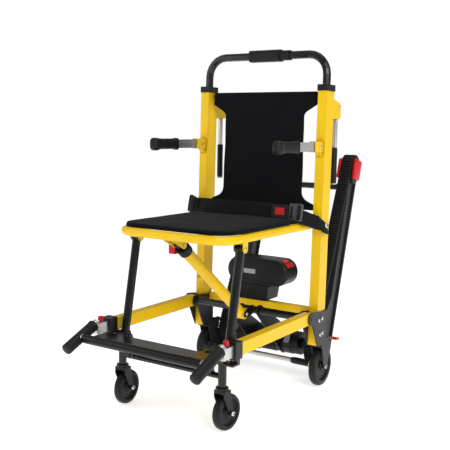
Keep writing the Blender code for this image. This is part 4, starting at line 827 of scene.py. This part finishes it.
def seat_trim():
    """A dark strip along each side of the seat tube, held by three screws."""
    for name, side in SIDES:
        x = side * SEAT_STRIP_X
        rounded_block(f"Seat strip {name}", (x - 0.006, DY - 0.40, 0.5235),
                      (x + 0.006, DY - 0.14, 0.5275), 0.0018, NYLON,
                      "seat")
        for index, y in enumerate((-0.37, -0.27, -0.17)):
            bolt_head(f"Strip screw {name} {index}", (x, DY + y, 0.5270), (0, 0, 1), 0.0032, "seat",
                      0.0016, NYLON)


def axle_sleeves():
    """The black sleeves at the ends of the rod between the rear wheels, and the bare rod between
    them."""
    low, high = limits("rear_axle")
    middle = (low + high) / 2
    for name, side in SIDES:
        profile = [(0.112, 0.0062), (0.112, 0.0088), (0.120, 0.0110), (0.176, 0.0110), (0.178, 0.0062)]
        lathe(f"Axle sleeve {name}", profile, (0, middle[1], middle[2]), (side, 0, 0), NYLON, "chassis",
              32)
    lathe("Axle rod cover", [(-0.112, 0.0061), (-0.112, 0.0078), (0.112, 0.0078), (0.112, 0.0061)],
          (0, middle[1], middle[2]), (1, 0, 0), ALLOY, "chassis", 32)


def brace_details():
    """The black guide collar on the brace's mouth and the bolt heads at its foot."""
    along = (BRACE_PIN - BRACE_FOOT) / np.linalg.norm(BRACE_PIN - BRACE_FOOT)
    profile = [(0.375, 0.0168), (0.376, 0.0202), (0.398, 0.0204), (0.401, 0.0192), (0.401, 0.0145)]
    lathe("Brace collar", profile, BRACE_FOOT, along, NYLON, "brace_tube", 40)
    for s in (-1, 1):
        bolt_head(f"Brace foot bolt {s}", BRACE_FOOT + (s * 0.0215, 0, 0), (s, 0, 0), 0.0060, "chassis")


def sleeve_details():
    """Moulded ribs on the push handle's control sleeve."""
    low, high = limits("control_sleeve")
    middle, half = (low + high) / 2, (high - low) / 2
    for index, x in enumerate(np.linspace(low[0] + 0.012, high[0] - 0.040, 2)):
        lathe(f"Sleeve ring {index}", [(-0.0015, 0.015), (-0.0015, half[2] + 0.0005),
                                       (0.0015, half[2] + 0.0005), (0.0015, 0.015)],
              (x, middle[1], middle[2]), (1, 0, 0), NYLON, "push_handle", 40)


# ---------------------------------------------------------------- stage

# Name, place, side length and power of each lamp
LAMPS = (("Key", (2.9, -2.0, 2.2), 1.6, 62), ("Fill", (-2.6, -2.4, 1.6), 1.6, 16),
         ("Top", (0.2, 0.4, 3.4), 1.8, 26))


def stage():
    """A white floor that glows a little, white surroundings and broad soft lamps turned to the
    chair."""
    mesh = bpy.data.meshes.new("Floor")
    mesh.from_pydata([(-9, -9, 0), (9, -9, 0), (9, 9, 0), (-9, 9, 0)], [], [(0, 1, 2, 3)])
    floor = bpy.data.objects.new("Floor", mesh)
    floor.location.z = -0.0005
    bpy.context.scene.collection.objects.link(floor)
    white = bpy.data.materials.new("White floor")
    white.use_nodes = True
    shader = white.node_tree.nodes["Principled BSDF"]
    shader.inputs["Base Color"].default_value = linear("FAFAFA")
    shader.inputs["Roughness"].default_value = 0.9
    shader.inputs["Emission Color"].default_value = (1, 1, 1, 1)
    shader.inputs["Emission Strength"].default_value = 0.62
    mesh.materials.append(white)
    world = bpy.data.worlds.new("Studio")
    bpy.context.scene.world = world
    world.use_nodes = True
    world.node_tree.nodes["Background"].inputs[0].default_value = (1, 1, 1, 1)
    path = add(world.node_tree, "LightPath")
    level = add(world.node_tree, "MapRange", values={"To Min": 0.40, "To Max": 1.0},
                links={"Value": path.outputs["Is Camera Ray"]})
    world.node_tree.links.new(level.outputs[0], world.node_tree.nodes["Background"].inputs[1])
    bpy.context.scene.view_settings.view_transform = "Standard"
    for label, spot, size, power in LAMPS:
        lamp = bpy.data.lights.new(label, "AREA")
        lamp.energy = power
        lamp.size = size
        made = bpy.data.objects.new(label, lamp)
        made.location = spot
        made.rotation_euler = (Vector((0, 0, 0.5)) - Vector(spot)).to_track_quat("-Z", "Y").to_euler()
        bpy.context.scene.collection.objects.link(made)


def camera():
    """The camera: standing off the chair's front right corner, a little above the seat, looking
    slightly down."""
    azimuth, down, roll = (math.radians(a) for a in (33.2546, 7.1095, 0.9436))
    ahead = Vector((-math.sin(azimuth) * math.cos(down), math.cos(azimuth) * math.cos(down),
                    -math.sin(down)))
    right = Vector((math.cos(azimuth), math.sin(azimuth), 0))
    up = right.cross(ahead)
    across = right * math.cos(roll) + up * math.sin(roll)
    above = -right * math.sin(roll) + up * math.cos(roll)
    data = bpy.data.cameras.new("Camera")
    data.lens = 61.04
    data.sensor_width = 36
    made = bpy.data.objects.new("Camera", data)
    matrix = Matrix((across, above, -ahead)).transposed().to_4x4()
    matrix.translation = Vector((1.2412, -2.0934 + DY, 0.7979))
    made.matrix_world = matrix
    bpy.context.scene.collection.objects.link(made)
    bpy.context.scene.camera = made


paint_carried()
cushion()
back_panel()
belt()
for side_name, side_sign in SIDES:
    track_belt(side_name)
    carry_grip(side_name, side_sign)
    armrest_grip(side_name, side_sign)
    rear_grip(side_name)
    wheel(f"caster_wheel_{side_name}", f"Caster {side_name}")
    wheel(f"rear_wheel_{side_name}", f"Rear {side_name}")
battery_case()
motor_details()
fasteners()
track_tops()
seat_trim()
brace_details()
axle_sleeves()
sleeve_details()
stage()
camera()
